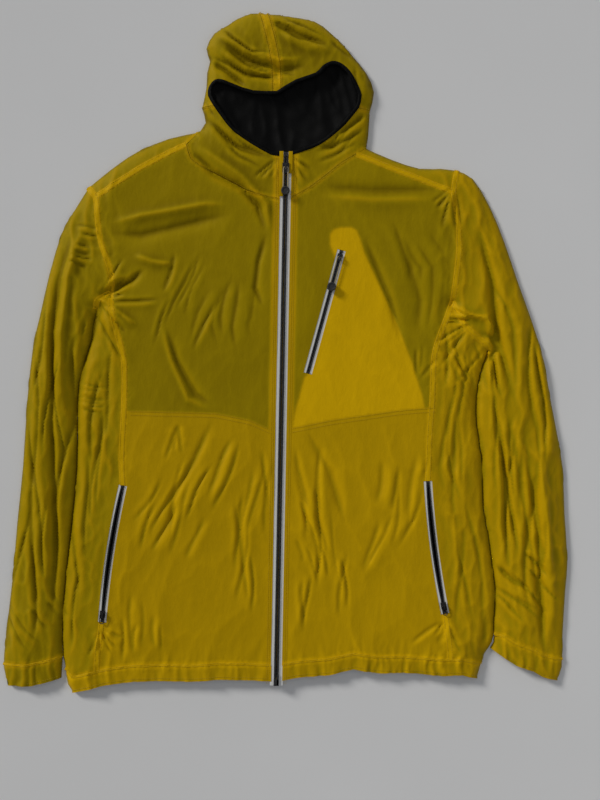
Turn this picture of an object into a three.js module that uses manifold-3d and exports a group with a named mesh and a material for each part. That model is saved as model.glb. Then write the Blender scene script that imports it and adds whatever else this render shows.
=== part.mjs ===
// A thin hooded shell jacket, closed and laid flat on its back.
// Millimetres. X runs to the wearer's left, Y from the hem to the hood, Z up from the surface under it.
import * as THREE from "three";
import Module from "manifold-3d";

const solidKit = await Module();
solidKit.setup();
const { Manifold, Mesh: ManifoldMesh } = solidKit;

// ---- driving sizes ----
const CLOTH = 1.2; // one layer of cloth with its seam allowance
const GAP = 0.3; // between neighbouring pieces
const LOFT = 13; // underside of the front above the surface, away from the folded edges
const FALL = 36; // how far in from a folded edge the front reaches its full height
const HOOD_RISE = 7; // the hood's crown stands this much higher than the chest
const CROWN_LOW = 330; // the rise starts here, at the height of the chin
const CROWN_HIGH = 420; // and is complete here, over the brow
const GRID = 22; // cell of the arched sheet across the jacket, and lengthwise above the armpits
const LONG_GRID = 50; // its cell lengthwise below them, where the sides run nearly straight
const HEM_HEIGHT = 22;
const CUFF_HEIGHT = 30;
const ELASTIC_HEIGHT = 12;
const ELASTIC_INSET = 8; // between the folded edge of a cuff or hem and its elastic
const BINDING = 5; // width of the binding on the face opening
const SLEEVE_CLEAR = 2.4; // between a sleeve and the body below the armpit
const LINING_INSET = 9;
const STRIP_WIDTH = 11; // the hood's centre strip

const EDGE_Z = CLOTH + GAP; // underside of the front at a folded edge
const LINING_Z = CLOTH + GAP;
const BAG_Z = LOFT - GAP - CLOTH; // pocket bags hang just under the front
const TALL = 60; // taller than anything on the jacket
const OFF_SIDE = 420; // past the sleeves on either side
const OFF_FOOT = -600; // well below the hem
const BELOW_HEM = -490; // where the front's seams run to before the hem cuts them off
const FAR_BELOW = -500; // foot of the tunnels through the hem and the cuffs
const CUTTER_LOW = -1; // cutters start under the surface the jacket lies on
const OVERLAP = 0.1; // how far boxes joined into one piece run into each other

const YELLOW = 0xe0b010;
const BLACK = 0x141412;
const WHITE = 0xe8e8e6;
const STEEL = 0x2c2c2c;

// ---- outlines, box-centred: the origin lies under the middle of the laid-out jacket ----
const points = (list) => list.map(([x, y]) => new THREE.Vector2(x, y));
const smooth = (list, steps = 2) =>
  new THREE.SplineCurve(points(list)).getPoints((list.length - 1) * steps);
const reversed = (curve) => [...curve].reverse();
const shiftedX = (curve, dx) => curve.map((p) => new THREE.Vector2(p.x + dx, p.y));
const shiftedY = (curve, dy) => curve.map((p) => new THREE.Vector2(p.x, p.y + dy));
const first = (curve) => curve[0];
const last = (curve) => curve[curve.length - 1];

const ZIP_TOP = new THREE.Vector2(1, 279);
const ZIP_BOTTOM = new THREE.Vector2(-13, -463);

// Each side of the jacket: seams and folded edges from the neck outwards and down.
const right = {
  shoulder: smooth([[-121, 309], [-163, 300], [-205, 283], [-232, 266], [-258, 246],
    [-276, 231]]),
  sleeveOuter: smooth([[-276, 231], [-296, 199], [-314, 167], [-331, 110], [-344, 53], [-354, 8],
    [-362, -66], [-368, -159], [-376, -238], [-383, -319], [-392, -398], [-395, -440], [-388, -465]]),
  cuffMouth: points([[-388, -465], [-357, -465], [-330, -459], [-314, -455]]),
  armholeTop: smooth([[-276, 231], [-264, 216], [-261, 186], [-257, 155], [-248, 130],
    [-241, 105], [-244, 85]]),
  armholeFoot: points([[-244, 85], [-263, 72]]),
  bodySide: smooth([[-263, 72], [-270, 19], [-288, -42], [-290, -100], [-291, -160], [-297, -230],
    [-305, -300], [-311, -372], [-310, -430], [-305, -464]]),
  princess: smooth([[-244, 85], [-240, 50], [-230, 15], [-224, -16], [-224, -64], [-226, -108],
    [-228, -150], [-226, -185]]),
  seamFoot: points([[-255, -375], [-262, -420], [-264, -490]]),
  yokeSeam: smooth([[-137, 290], [-200, 258], [-264, 216]]),
  neckTop: points([[-121, 309], [-137, 290]]),
  neck: smooth([[-137, 290], [-131, 269], [-104, 253], [-67, 234], [-43, 221], [0, 212]]),
  hem: points([[-305, -464], [-298, -475], [-277, -470], [-248, -463], [-211, -458], [-173, -457],
    [-131, -458], [-91, -455], [-51, -456], [-13, -458]]),
  hoodSide: smooth([[-121, 309], [-112, 322], [-117, 342]]),
  hoodEdge: smooth([[-117, 342], [-111, 371], [-110, 392], [-106, 408], [-111, 426], [-100, 447],
    [-82, 458], [-69, 467], [-49, 475], [-30, 475]]),
  rimLow: smooth([[0, 273], [-20, 275], [-49, 291], [-69, 305], [-82, 318], [-100, 343]]),
  rimHigh: smooth([[-100, 343], [-108, 358], [-107, 371], [-98, 379], [-88, 379], [-69, 372],
    [-45, 364], [-12, 363]]),
};
const left = {
  shoulder: smooth([[113, 286], [150, 270], [188, 258], [217, 258], [240, 255]]),
  sleeveOuter: smooth([[240, 255], [262, 244], [286, 205], [307, 154], [326, 98], [345, 45], [361, -8],
    [371, -64], [379, -106], [388, -159], [391, -226], [395, -292], [392, -332], [388, -398], [387, -440],
    [380, -458]]),
  cuffMouth: points([[380, -458], [358, -452], [345, -444], [321, -436], [304, -425]]),
  armholeTop: smooth([[240, 255], [233, 223], [239, 190], [241, 150], [238, 112], [233, 72]]),
  armholeFoot: smooth([[233, 72], [250, 36], [285, 8]]),
  bodySide: smooth([[285, 8], [274, -20], [266, -60], [266, -101], [273, -145], [275, -212], [282, -252],
    [287, -292], [292, -331], [290, -377], [289, -405], [278, -422], [268, -455]]),
  princess: smooth([[233, 72], [223, 45], [213, 19], [206, -8], [204, -63], [200, -120], [198, -179]]),
  seamFoot: points([[222, -363], [228, -410], [232, -490]]),
  yokeSeam: smooth([[98, 276], [165, 250], [233, 223]]),
  neckTop: points([[113, 286], [98, 276]]),
  neck: smooth([[98, 276], [75, 262], [36, 231], [0, 212]]),
  hem: points([[268, -455], [246, -449], [217, -450], [169, -446], [126, -446], [95, -441], [60, -449],
    [20, -452], [-13, -458]]),
  hoodSide: smooth([[113, 286], [116, 305], [118, 338]]),
  hoodEdge: smooth([[118, 338], [124, 365], [113, 392], [95, 414], [82, 430], [60, 451], [41, 464],
    [6, 471], [-30, 475]]),
  rimLow: smooth([[0, 273], [20, 278], [48, 289], [64, 300], [84, 318], [102, 340]]),
  rimHigh: smooth([[102, 340], [106, 358], [95, 383], [85, 396], [74, 403], [64, 404], [52, 398],
    [42, 388], [15, 379], [-12, 363]]),
};
const hoodCentre = smooth([[-30, 475], [-20, 435], [-13, 400], [-12, 363]]);
const backNeck = smooth([[-121, 309], [-60, 294], [0, 287], [60, 283], [113, 286]]);
const foldedEdges = [right, left].flatMap((s) => [
  s.shoulder, s.sleeveOuter, s.bodySide, s.hoodSide, s.hoodEdge,
]);

// ---- solids ----
function toManifold(geometry) {
  const merged = new Map();
  const position = geometry.getAttribute("position");
  const corner = geometry.index ? (i) => geometry.index.getX(i) : (i) => i;
  const count = geometry.index ? geometry.index.count : position.count;
  const vertices = [];
  const triangles = [];
  for (let i = 0; i < count; i++) {
    const at = new THREE.Vector3().fromBufferAttribute(position, corner(i));
    const key = at.toArray().map((v) => Math.round(v * 1e4)).join();
    if (!merged.has(key)) merged.set(key, vertices.push(...at.toArray()) / 3 - 1);
    triangles.push(merged.get(key));
  }
  return new Manifold(new ManifoldMesh({
    numProp: 3,
    vertProperties: new Float32Array(vertices),
    triVerts: new Uint32Array(triangles),
  }));
}

function toGeometry(solid) {
  const mesh = solid.getMesh();
  const geometry = new THREE.BufferGeometry();
  geometry.setAttribute("position", new THREE.BufferAttribute(mesh.vertProperties, mesh.numProp));
  geometry.setIndex(new THREE.BufferAttribute(mesh.triVerts, 1));
  return geometry;
}

const joined = (...solids) => solids.reduce((a, b) => a.add(b));
const common = (...solids) => solids.reduce((a, b) => a.intersect(b));
const without = (solid, ...cutters) => cutters.reduce((a, b) => a.subtract(b), solid);

// The outline moved inwards by an amount (outwards if it is negative), corner by corner.
function inset(outline, amount) {
  const ring = outline.filter((p, i) => p.distanceTo(outline.at(i - 1)) > 1e-6);
  const turn = THREE.ShapeUtils.isClockWise(ring) ? -1 : 1;
  return ring.map((p, i) => {
    const before = p.clone().sub(ring.at(i - 1)).normalize();
    const after = ring[(i + 1) % ring.length].clone().sub(p).normalize();
    const normal = new THREE.Vector2(-before.y - after.y, before.x + after.x).normalize();
    const stretch = Math.max(0.5, normal.dot(new THREE.Vector2(-before.y, before.x)));
    return p.clone().addScaledVector(normal, (turn * amount) / stretch);
  });
}

function plate(outline, low, high) {
  const geometry = new THREE.ExtrudeGeometry(new THREE.Shape(outline), {
    depth: high - low, bevelEnabled: false,
  });
  return geometry.translate(0, 0, low);
}
const column = (outline) => toManifold(plate(inset(outline, GAP / 2), CUTTER_LOW, TALL));
const flatPiece = (outline, low) => toManifold(plate(inset(outline, GAP / 2), low, low + CLOTH));

// A plate whose edge is brought in evenly all round, as what shifted copies of it have in common.
const SHIFTS = 8;
const drawnIn = (outline, amount, low, high) =>
  common(...Array.from({ length: SHIFTS }, (_, i) => {
    const angle = (i * 2 * Math.PI) / SHIFTS;
    const copy = plate(outline, low, high);
    return toManifold(copy.translate(amount * Math.cos(angle), amount * Math.sin(angle), 0));
  }));

function distanceToCurve(p, curve) {
  let nearest = Infinity;
  for (let i = 1; i < curve.length; i++) {
    const along = curve[i].clone().sub(curve[i - 1]);
    const share = p.clone().sub(curve[i - 1]).dot(along) / along.lengthSq();
    const foot = curve[i - 1].clone().addScaledVector(along, THREE.MathUtils.clamp(share, 0, 1));
    nearest = Math.min(nearest, foot.distanceTo(p));
  }
  return nearest;
}

// Height of the front's underside: low at the folded edges, level over the body, higher at the crown.
function frontHeight(x, y) {
  const p = new THREE.Vector2(x, y);
  const inward = Math.min(1, Math.min(...foldedEdges.map((c) => distanceToCurve(p, c))) / FALL);
  const crown = HOOD_RISE * THREE.MathUtils.smoothstep(y, CROWN_LOW, CROWN_HIGH);
  return EDGE_Z + (LOFT - EDGE_Z + crown) * Math.sqrt(1 - (1 - inward) ** 2);
}

const lines = (from, to, step) =>
  Array.from({ length: Math.ceil((to - from) / step) + 1 }, (_, i) => from + i * step);
const GRID_SIDE = 410;
const GRID_FOOT = -500;
const GRID_ARMPIT = 150; // the finer rows start above this height
const gridX = lines(-GRID_SIDE, GRID_SIDE, GRID);
const gridY = [
  ...lines(GRID_FOOT, GRID_ARMPIT, LONG_GRID), ...lines(GRID_ARMPIT + GRID, -GRID_FOOT, GRID),
];
const heights = gridY.map((y) => gridX.map((x) => frontHeight(x, y)));

// A sheet over the whole jacket between two heights, each the front's height plus an offset, or level.
function sheet(low, high) {
  const columns = gridX.length - 1;
  const rows = gridY.length - 1;
  const at = (i, j, side) => [gridX[i], gridY[j], side(heights[j][i])];
  const vertices = [];
  const quad = (a, b, c, d) => vertices.push(...a, ...b, ...c, ...a, ...c, ...d);
  for (let j = 0; j < rows; j++)
    for (let i = 0; i < columns; i++) {
      quad(at(i, j, high), at(i + 1, j, high), at(i + 1, j + 1, high), at(i, j + 1, high));
      quad(at(i, j, low), at(i, j + 1, low), at(i + 1, j + 1, low), at(i + 1, j, low));
    }
  for (let i = 0; i < columns; i++) {
    quad(at(i, 0, low), at(i + 1, 0, low), at(i + 1, 0, high), at(i, 0, high));
    quad(at(i + 1, rows, low), at(i, rows, low), at(i, rows, high), at(i + 1, rows, high));
  }
  for (let j = 0; j < rows; j++) {
    quad(at(0, j + 1, low), at(0, j, low), at(0, j, high), at(0, j + 1, high));
    quad(at(columns, j, low), at(columns, j + 1, low), at(columns, j + 1, high),
      at(columns, j, high));
  }
  const geometry = new THREE.BufferGeometry();
  geometry.setAttribute("position", new THREE.Float32BufferAttribute(vertices, 3));
  return toManifold(geometry);
}
const frontSheet = sheet((h) => h, (h) => h + CLOTH);

const jacket = new THREE.Group();
jacket.name = "shell_jacket";
function add(name, solid, color) {
  const mesh = new THREE.Mesh(toGeometry(solid), new THREE.MeshStandardMaterial({ color }));
  mesh.name = name;
  jacket.add(mesh);
}

// ---- zips ----
// A zip's cross-section: two rows of coil with a slit between them, and a striped tape outside
// each row. restBelowTop is from the end of the coil to the middle of the slider at rest.
const MAIN = {
  slit: 1.0, row: 3.0, halfWidth: 7.3, coilLow: -0.4, coilHigh: 2.6,
  sliderLength: 14, plate: 1.3, restBelowTop: 15,
  cord: 1.8, loopHalf: 2.3, knobRadius: 6, knobHeight: 8,
};
const SMALL = {
  slit: 1.0, row: 2.0, halfWidth: 5.6, coilLow: -0.2, coilHigh: 2.2,
  sliderLength: 11, plate: 1.2, restBelowTop: 8,
  cord: 1.6, loopHalf: 2.2, knobRadius: 6.3, knobHeight: 8,
};
const BRIDGE = { half: 1.4, inner: 2.1, outer: 3.5, opening: 2.8, bar: 1.2 };
const SLIDER_LIP = 1; // wall of a slider outside its coil
const WEB_LENGTH = 3; // the wedge between a slider's plates
const WEB_CLEAR = 0.25;
const PULL_CLEAR = 0.4; // between a slider's upper plate and its pull
const KNOB_CLEAR = 0.6; // between the coil and a knob
const KNOB_RIM = 0.72; // radius of a knob's flat faces, as a share of its own
const KNOB_WAIST = 0.4; // height of a knob's straight side, as a share of its own
const LOOP_STEPS = 5; // flats round the end of a pull
const KNOB_STEPS = 16; // flats round a knob
const WINDOW_LOW = LOFT - 2; // slits for the zips are cut from here up
for (const zip of [MAIN, SMALL]) {
  zip.rowInner = zip.slit / 2;
  zip.rowOuter = zip.rowInner + zip.row;
  zip.tapeInner = zip.rowOuter + GAP;
  zip.coilBottom = LOFT + zip.coilLow;
  zip.coilTop = LOFT + zip.coilHigh;
  zip.plateTop = zip.coilTop + GAP + zip.plate;
  zip.pivotZ = zip.plateTop + PULL_CLEAR + zip.cord / 2;
}

function box(x0, x1, y0, y1, z0, z1) {
  const geometry = new THREE.BoxGeometry(x1 - x0, y1 - y0, z1 - z0);
  return geometry.translate((x0 + x1) / 2, (y0 + y1) / 2, (z0 + z1) / 2);
}

// A frame on the front: its Y runs up the zip, its X across it.
function zipFrame(at, up) {
  const angle = Math.atan2(up.y, up.x) - Math.PI / 2;
  return new THREE.Matrix4().makeRotationZ(angle).setPosition(at.x, at.y, 0);
}
const placed = (frame, ...geometries) =>
  joined(...geometries.map((g) => toManifold(g.clone().applyMatrix4(frame))));

function makeSlider(frame, zip) {
  const half = zip.sliderLength / 2;
  const lip = zip.rowOuter + GAP;
  const width = lip + SLIDER_LIP;
  const over = zip.coilTop + GAP;
  const under = zip.coilBottom - GAP;
  const tapeTop = LOFT + CLOTH + GAP;
  const web = zip.slit / 2 - WEB_CLEAR;
  const barLow = zip.plateTop + BRIDGE.opening;
  const barHigh = barLow + BRIDGE.bar;
  const bridge = (y0, y1, z0) => box(-BRIDGE.half, BRIDGE.half, y0, y1, z0, barHigh);
  return placed(
    frame,
    box(-width, width, -half, half, over, zip.plateTop),
    box(-width, width, -half, half, under - zip.plate, under),
    box(-web, web, half - WEB_LENGTH, half, under - OVERLAP, over + OVERLAP),
    box(-width, -lip, -half, half, tapeTop, over + OVERLAP),
    box(lip, width, -half, half, tapeTop, over + OVERLAP),
    bridge(BRIDGE.inner, BRIDGE.outer, zip.plateTop - OVERLAP),
    bridge(-BRIDGE.outer, -BRIDGE.inner, zip.plateTop - OVERLAP),
    bridge(-BRIDGE.outer, BRIDGE.outer, barLow),
  );
}

// A closed loop of cord through the slider's bridge, hanging down the zip.
function makeLoop(frame, zip, length, margin = 0) {
  const thick = zip.cord + margin;
  const middle = zip.loopHalf + zip.cord / 2;
  const foot = -(length - middle - zip.cord / 2);
  const stadium = (radius) => {
    const path = new THREE.Shape();
    const top = middle - zip.cord / 2 - zip.loopHalf + (radius - zip.loopHalf);
    path.moveTo(-radius, foot).absarc(0, foot, radius, Math.PI, 2 * Math.PI);
    path.lineTo(radius, top);
    path.lineTo(-radius, top);
    return path.getPoints(LOOP_STEPS);
  };
  const shape = new THREE.Shape(stadium(middle + thick / 2));
  shape.holes.push(new THREE.Path(stadium(middle - thick / 2)));
  const ring = new THREE.ExtrudeGeometry(shape, { depth: thick, bevelEnabled: false });
  ring.translate(0, -zip.cord / 2, zip.pivotZ - thick / 2);
  return placed(frame, ring);
}

function makeKnob(frame, zip, loop, y) {
  const half = zip.knobHeight / 2;
  const middle = zip.coilTop + KNOB_CLEAR + half;
  const rim = zip.knobRadius * KNOB_RIM;
  const waist = half * KNOB_WAIST;
  const profile = points([[0, -half], [rim, -half], [zip.knobRadius, -waist],
    [zip.knobRadius, waist], [rim, half], [0, half]]);
  const knob = new THREE.LatheGeometry(profile, KNOB_STEPS);
  return without(placed(frame, knob.rotateX(Math.PI / 2).translate(0, y, middle)), loop);
}
const movedUp = (frame, y) =>
  frame.clone().multiply(new THREE.Matrix4().makeTranslation(0, y, 0));

// -- main zip --
const mainUp = ZIP_TOP.clone().sub(ZIP_BOTTOM);
const mainLength = mainUp.length();
const mainFrame = zipFrame(ZIP_BOTTOM, mainUp);
const STOP_LENGTH = 4;
const BOX_LENGTH = 9;
const PIN_LENGTH = 15;
const PIN = { inner: 1.2, outer: 2.6, foot: 2, height: 1.6 };
const BARE_TOP = 8; // tape above the end of the main coil
const mainRowTop = mainLength - BARE_TOP;
const mainStops = mainRowTop + GAP;
const sides = [["right", -1], ["left", 1]];
const across = (side, a, b) => [Math.min(side * a, side * b), Math.max(side * a, side * b)];

for (const [name, side] of sides) {
  const rowFoot = PIN_LENGTH + GAP;
  const tape = across(side, MAIN.tapeInner, MAIN.halfWidth);
  const row = across(side, MAIN.rowInner, MAIN.rowOuter);
  const rowBox = (from, to) => placed(mainFrame,
    box(...row, from, to, MAIN.coilBottom, MAIN.coilTop));
  add(`main_zip_${name}_tape`, placed(mainFrame,
    box(...tape, 0, mainLength, LOFT, LOFT + CLOTH)), WHITE);
  add(`main_zip_${name}_coil`, rowBox(rowFoot, mainRowTop), BLACK);
  add(`main_zip_${name}_top_stop`, rowBox(mainStops, mainStops + STOP_LENGTH), STEEL);
}
const pin = (margin) => placed(mainFrame, box(
  -PIN.outer - margin, -PIN.inner + margin, PIN.foot - margin, PIN_LENGTH + margin,
  LOFT - margin, LOFT + PIN.height + margin,
));
const retainer = placed(mainFrame,
  box(-MAIN.rowOuter, MAIN.rowOuter, 0, BOX_LENGTH, MAIN.coilBottom, MAIN.coilTop),
  box(MAIN.rowInner, MAIN.rowOuter, BOX_LENGTH - OVERLAP, PIN_LENGTH,
    MAIN.coilBottom, MAIN.coilTop));
add("main_zip_insertion_pin", pin(0), STEEL);
add("main_zip_retainer_box", without(retainer, pin(GAP)), STEEL);

const MAIN_LOOP = 32;
const mainSliderFrame = movedUp(mainFrame, mainRowTop - MAIN.restBelowTop);
const mainKnobHole = makeLoop(mainSliderFrame, MAIN, MAIN_LOOP, 2 * GAP);
add("main_zip_slider", makeSlider(mainSliderFrame, MAIN), STEEL);
add("main_zip_pull_loop", makeLoop(mainSliderFrame, MAIN, MAIN_LOOP), BLACK);
add("main_zip_pull_knob", makeKnob(mainSliderFrame, MAIN, mainKnobHole, -MAIN_LOOP), BLACK);

const WINDOW_OVERRUN = 60; // the main zip's slit runs past both ends of the zip
const mainWindow = placed(mainFrame, box(
  -MAIN.halfWidth - GAP, MAIN.halfWidth + GAP,
  -WINDOW_OVERRUN, mainLength + WINDOW_OVERRUN, WINDOW_LOW, TALL,
));

// -- chest zip --
const CHEST_TOP = new THREE.Vector2(78, 142);
const CHEST_BOTTOM = new THREE.Vector2(31, -29);
const CHEST_LOOP = 42;
const END_BAR = 3; // closed end of a pocket zip's tape
const chestUp = CHEST_TOP.clone().sub(CHEST_BOTTOM);
const chestLength = chestUp.length();
const chestFrame = zipFrame(CHEST_BOTTOM, chestUp);
const chestTape = placed(chestFrame,
  box(-SMALL.halfWidth, SMALL.halfWidth, 0, chestLength, LOFT, LOFT + CLOTH));
const chestGap = placed(chestFrame,
  box(-SMALL.tapeInner, SMALL.tapeInner, END_BAR, chestLength - END_BAR, 0, TALL));
add("chest_zip_tape", without(chestTape, chestGap), WHITE);
for (const [name, side] of sides)
  add(`chest_zip_${name}_coil`, placed(chestFrame, box(
    ...across(side, SMALL.rowInner, SMALL.rowOuter),
    END_BAR + GAP, chestLength - END_BAR - GAP, SMALL.coilBottom, SMALL.coilTop,
  )), BLACK);
const chestSliderFrame = movedUp(chestFrame, chestLength - END_BAR - SMALL.restBelowTop);
const chestKnobHole = makeLoop(chestSliderFrame, SMALL, CHEST_LOOP, 2 * GAP);
add("chest_zip_slider", makeSlider(chestSliderFrame, SMALL), STEEL);
add("chest_zip_pull_loop", makeLoop(chestSliderFrame, SMALL, CHEST_LOOP), BLACK);
add("chest_zip_pull_knob", makeKnob(chestSliderFrame, SMALL, chestKnobHole, -CHEST_LOOP), BLACK);
const chestWindow = placed(chestFrame,
  box(-SMALL.halfWidth - GAP, SMALL.halfWidth + GAP, -GAP, chestLength + GAP, WINDOW_LOW, TALL));

// -- hand zips: long shallow arcs, both bowed towards the wearer's right --
const ARC_RADIUS = 1300;
const ARC_STEPS = 10;
const HAND_RING = 13;
const onCircle = (centre, radius, angle) => new THREE.Vector2(
  centre.x + radius * Math.cos(angle), centre.y + radius * Math.sin(angle));

// Rows are named from the zip's right-hand side across it: the first faces the arc's centre.
function handZip(name, top, bottom, rows) {
  const chord = top.clone().sub(bottom);
  const half = chord.length() / 2;
  const inwards = new THREE.Vector2(chord.y, -chord.x).normalize();
  const centre = bottom.clone().add(top).multiplyScalar(0.5)
    .addScaledVector(inwards, Math.sqrt(ARC_RADIUS ** 2 - half ** 2));
  const from = Math.atan2(top.y - centre.y, top.x - centre.x);
  const to = from + 2 * Math.asin(half / ARC_RADIUS);
  const arc = (radius, a0, a1) => Array.from({ length: ARC_STEPS + 1 }, (_, i) =>
    onCircle(centre, radius, a0 + ((a1 - a0) * i) / ARC_STEPS));
  // Part of a ring between two radii, measured from the zip's middle line, with its ends cut short.
  const strip = (near, far, short, low, high) => {
    const ends = [from + short / ARC_RADIUS, to - short / ARC_RADIUS];
    const outline = [
      ...arc(ARC_RADIUS + near, ...ends), ...reversed(arc(ARC_RADIUS + far, ...ends)),
    ];
    return toManifold(plate(outline, low, high));
  };
  const { halfWidth, tapeInner, rowInner, rowOuter, coilBottom, coilTop } = SMALL;
  const window = strip(-halfWidth - GAP, halfWidth + GAP, -GAP, WINDOW_LOW, TALL);
  add(`${name}_hand_zip_tape`, without(
    strip(-halfWidth, halfWidth, 0, LOFT, LOFT + CLOTH),
    strip(-tapeInner, tapeInner, END_BAR, 0, TALL)), WHITE);
  const radii = [[-rowOuter, -rowInner], [rowInner, rowOuter]];
  rows.forEach((row, i) => add(`${name}_hand_zip_${row}_coil`,
    strip(...radii[i], END_BAR + GAP, coilBottom, coilTop), BLACK));
  const sliderAngle = to - (END_BAR + SMALL.restBelowTop) / ARC_RADIUS;
  const at = onCircle(centre, ARC_RADIUS, sliderAngle);
  const up = new THREE.Vector2(Math.sin(sliderAngle), -Math.cos(sliderAngle));
  const frame = zipFrame(at, up);
  add(`${name}_hand_zip_slider`, makeSlider(frame, SMALL), STEEL);
  add(`${name}_hand_zip_pull_ring`, makeLoop(frame, SMALL, HAND_RING), STEEL);
  return { window, line: arc(ARC_RADIUS, from, to) };
}
const rightZip = handZip("right", last(right.princess), first(right.seamFoot), ["front", "side"]);
const leftZip = handZip("left", last(left.princess), first(left.seamFoot), ["side", "front"]);
const windows = [mainWindow, chestWindow, rightZip.window, leftZip.window];

// ---- body ----
const BELOW_ARMPIT = 512; // from the armpit down to the top of the hem, beside the body
const hem = [...right.hem, ...reversed(left.hem)];
const belowHemTop = (margin) => toManifold(plate([
  ...shiftedY(hem, HEM_HEIGHT + margin),
  new THREE.Vector2(OFF_SIDE, last(right.armholeFoot).y - BELOW_ARMPIT),
  new THREE.Vector2(OFF_SIDE, OFF_FOOT), new THREE.Vector2(-OFF_SIDE, OFF_FOOT),
  new THREE.Vector2(-OFF_SIDE, last(right.armholeFoot).y - BELOW_ARMPIT),
], CUTTER_LOW, TALL));
const bodyOutline = [
  ...right.shoulder, ...right.armholeTop, ...right.armholeFoot, ...right.bodySide, ...hem,
  ...reversed(left.bodySide), ...reversed(left.armholeFoot), ...reversed(left.armholeTop),
  ...reversed(left.shoulder), ...reversed(backNeck),
];
const aboveHem = belowHemTop(GAP);

add("back_panel", without(flatPiece(bodyOutline, 0), aboveHem), YELLOW);
add("back_lining",
  without(drawnIn(bodyOutline, LINING_INSET, LINING_Z, LINING_Z + CLOTH), aboveHem), BLACK);

const YOKE_END = 2; // the armhole's point where the yoke seam meets it
for (const [name, s, zip] of [["right", right, rightZip], ["left", left, leftZip]]) {
  const foot = s.seamFoot.slice(1);
  const princessLine = [...s.princess, ...zip.line, ...foot];
  const centreFoot = new THREE.Vector2(ZIP_BOTTOM.x, BELOW_HEM);
  const sideFoot = new THREE.Vector2(last(s.bodySide).x, BELOW_HEM);
  const outlines = {
    shoulder_yoke: [...s.shoulder, ...s.armholeTop.slice(0, YOKE_END + 1), ...reversed(s.yokeSeam),
      ...reversed(s.neckTop)],
    front_panel: [...s.yokeSeam, ...s.armholeTop.slice(YOKE_END), ...princessLine, centreFoot,
      ...reversed(s.neck)],
    side_panel: [...s.armholeFoot, ...s.bodySide, sideFoot, ...reversed(princessLine)],
  };
  for (const [piece, outline] of Object.entries(outlines)) {
    const cloth = common(frontSheet, column(outline));
    add(`${name}_${piece}`, without(cloth, aboveHem, ...windows), YELLOW);
  }
}

// Pieces that close on themselves round a wrist or the hips: a back strip, a front strip and two
// folded edges. level is 0 for the outer layer and 1 for the layer inside it.
function casing(outline, inner, level, zone) {
  const lift = level * (CLOTH + GAP);
  const region = common(toManifold(plate(outline, CUTTER_LOW, TALL)), zone);
  const walls = without(region, toManifold(plate(inner, 2 * CUTTER_LOW, TALL - CUTTER_LOW)));
  const front = common(sheet((h) => h - lift, (h) => h - lift + CLOTH), region);
  const back = common(toManifold(plate(outline, lift, lift + CLOTH)), zone);
  const edges = common(sheet(() => lift, (h) => h - lift + CLOTH), walls);
  return { front, rest: joined(back, edges) };
}
const centreHem = new THREE.Vector2(ZIP_BOTTOM.x, FAR_BELOW);
const hipTunnel = (dx) => [
  ...shiftedX(right.bodySide, dx), centreHem, ...reversed(shiftedX(left.bodySide, -dx)),
];
const hemCasing = casing(inset(bodyOutline, GAP / 2), hipTunnel(CLOTH), 0, belowHemTop(0));
add("hem_casing", joined(without(hemCasing.front, mainWindow), hemCasing.rest), YELLOW);

// Everything between two heights above a mouth, reaching past both of its ends.
function band(mouth, low, high, reach) {
  const ends = [first(mouth), last(mouth)].sort((a, b) => a.x - b.x);
  const run = mouth[0].x < last(mouth).x ? mouth : reversed(mouth);
  const wide = [
    new THREE.Vector2(ends[0].x - reach, ends[0].y), ...run,
    new THREE.Vector2(ends[1].x + reach, ends[1].y),
  ];
  const outline = [...shiftedY(wide, high), ...reversed(shiftedY(wide, low))];
  return toManifold(plate(outline, CUTTER_LOW, TALL));
}
const HEM_REACH = 5;
const FLAP_SPACE = 26; // half width of the elastic's gap at the storm flap
const FLAP_DEPTH = 9;
const elasticLow = (HEM_HEIGHT - ELASTIC_HEIGHT) / 2;
const hemElastic = casing(hipTunnel(ELASTIC_INSET), hipTunnel(ELASTIC_INSET + CLOTH), 1,
  band(hem, elasticLow, elasticLow + ELASTIC_HEIGHT, HEM_REACH));
const flapClear = placed(mainFrame, box(
  -FLAP_SPACE, FLAP_SPACE, -WINDOW_OVERRUN, mainLength, LOFT - FLAP_DEPTH, TALL,
));
add("hem_elastic", joined(without(hemElastic.front, flapClear), hemElastic.rest), BLACK);

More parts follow.
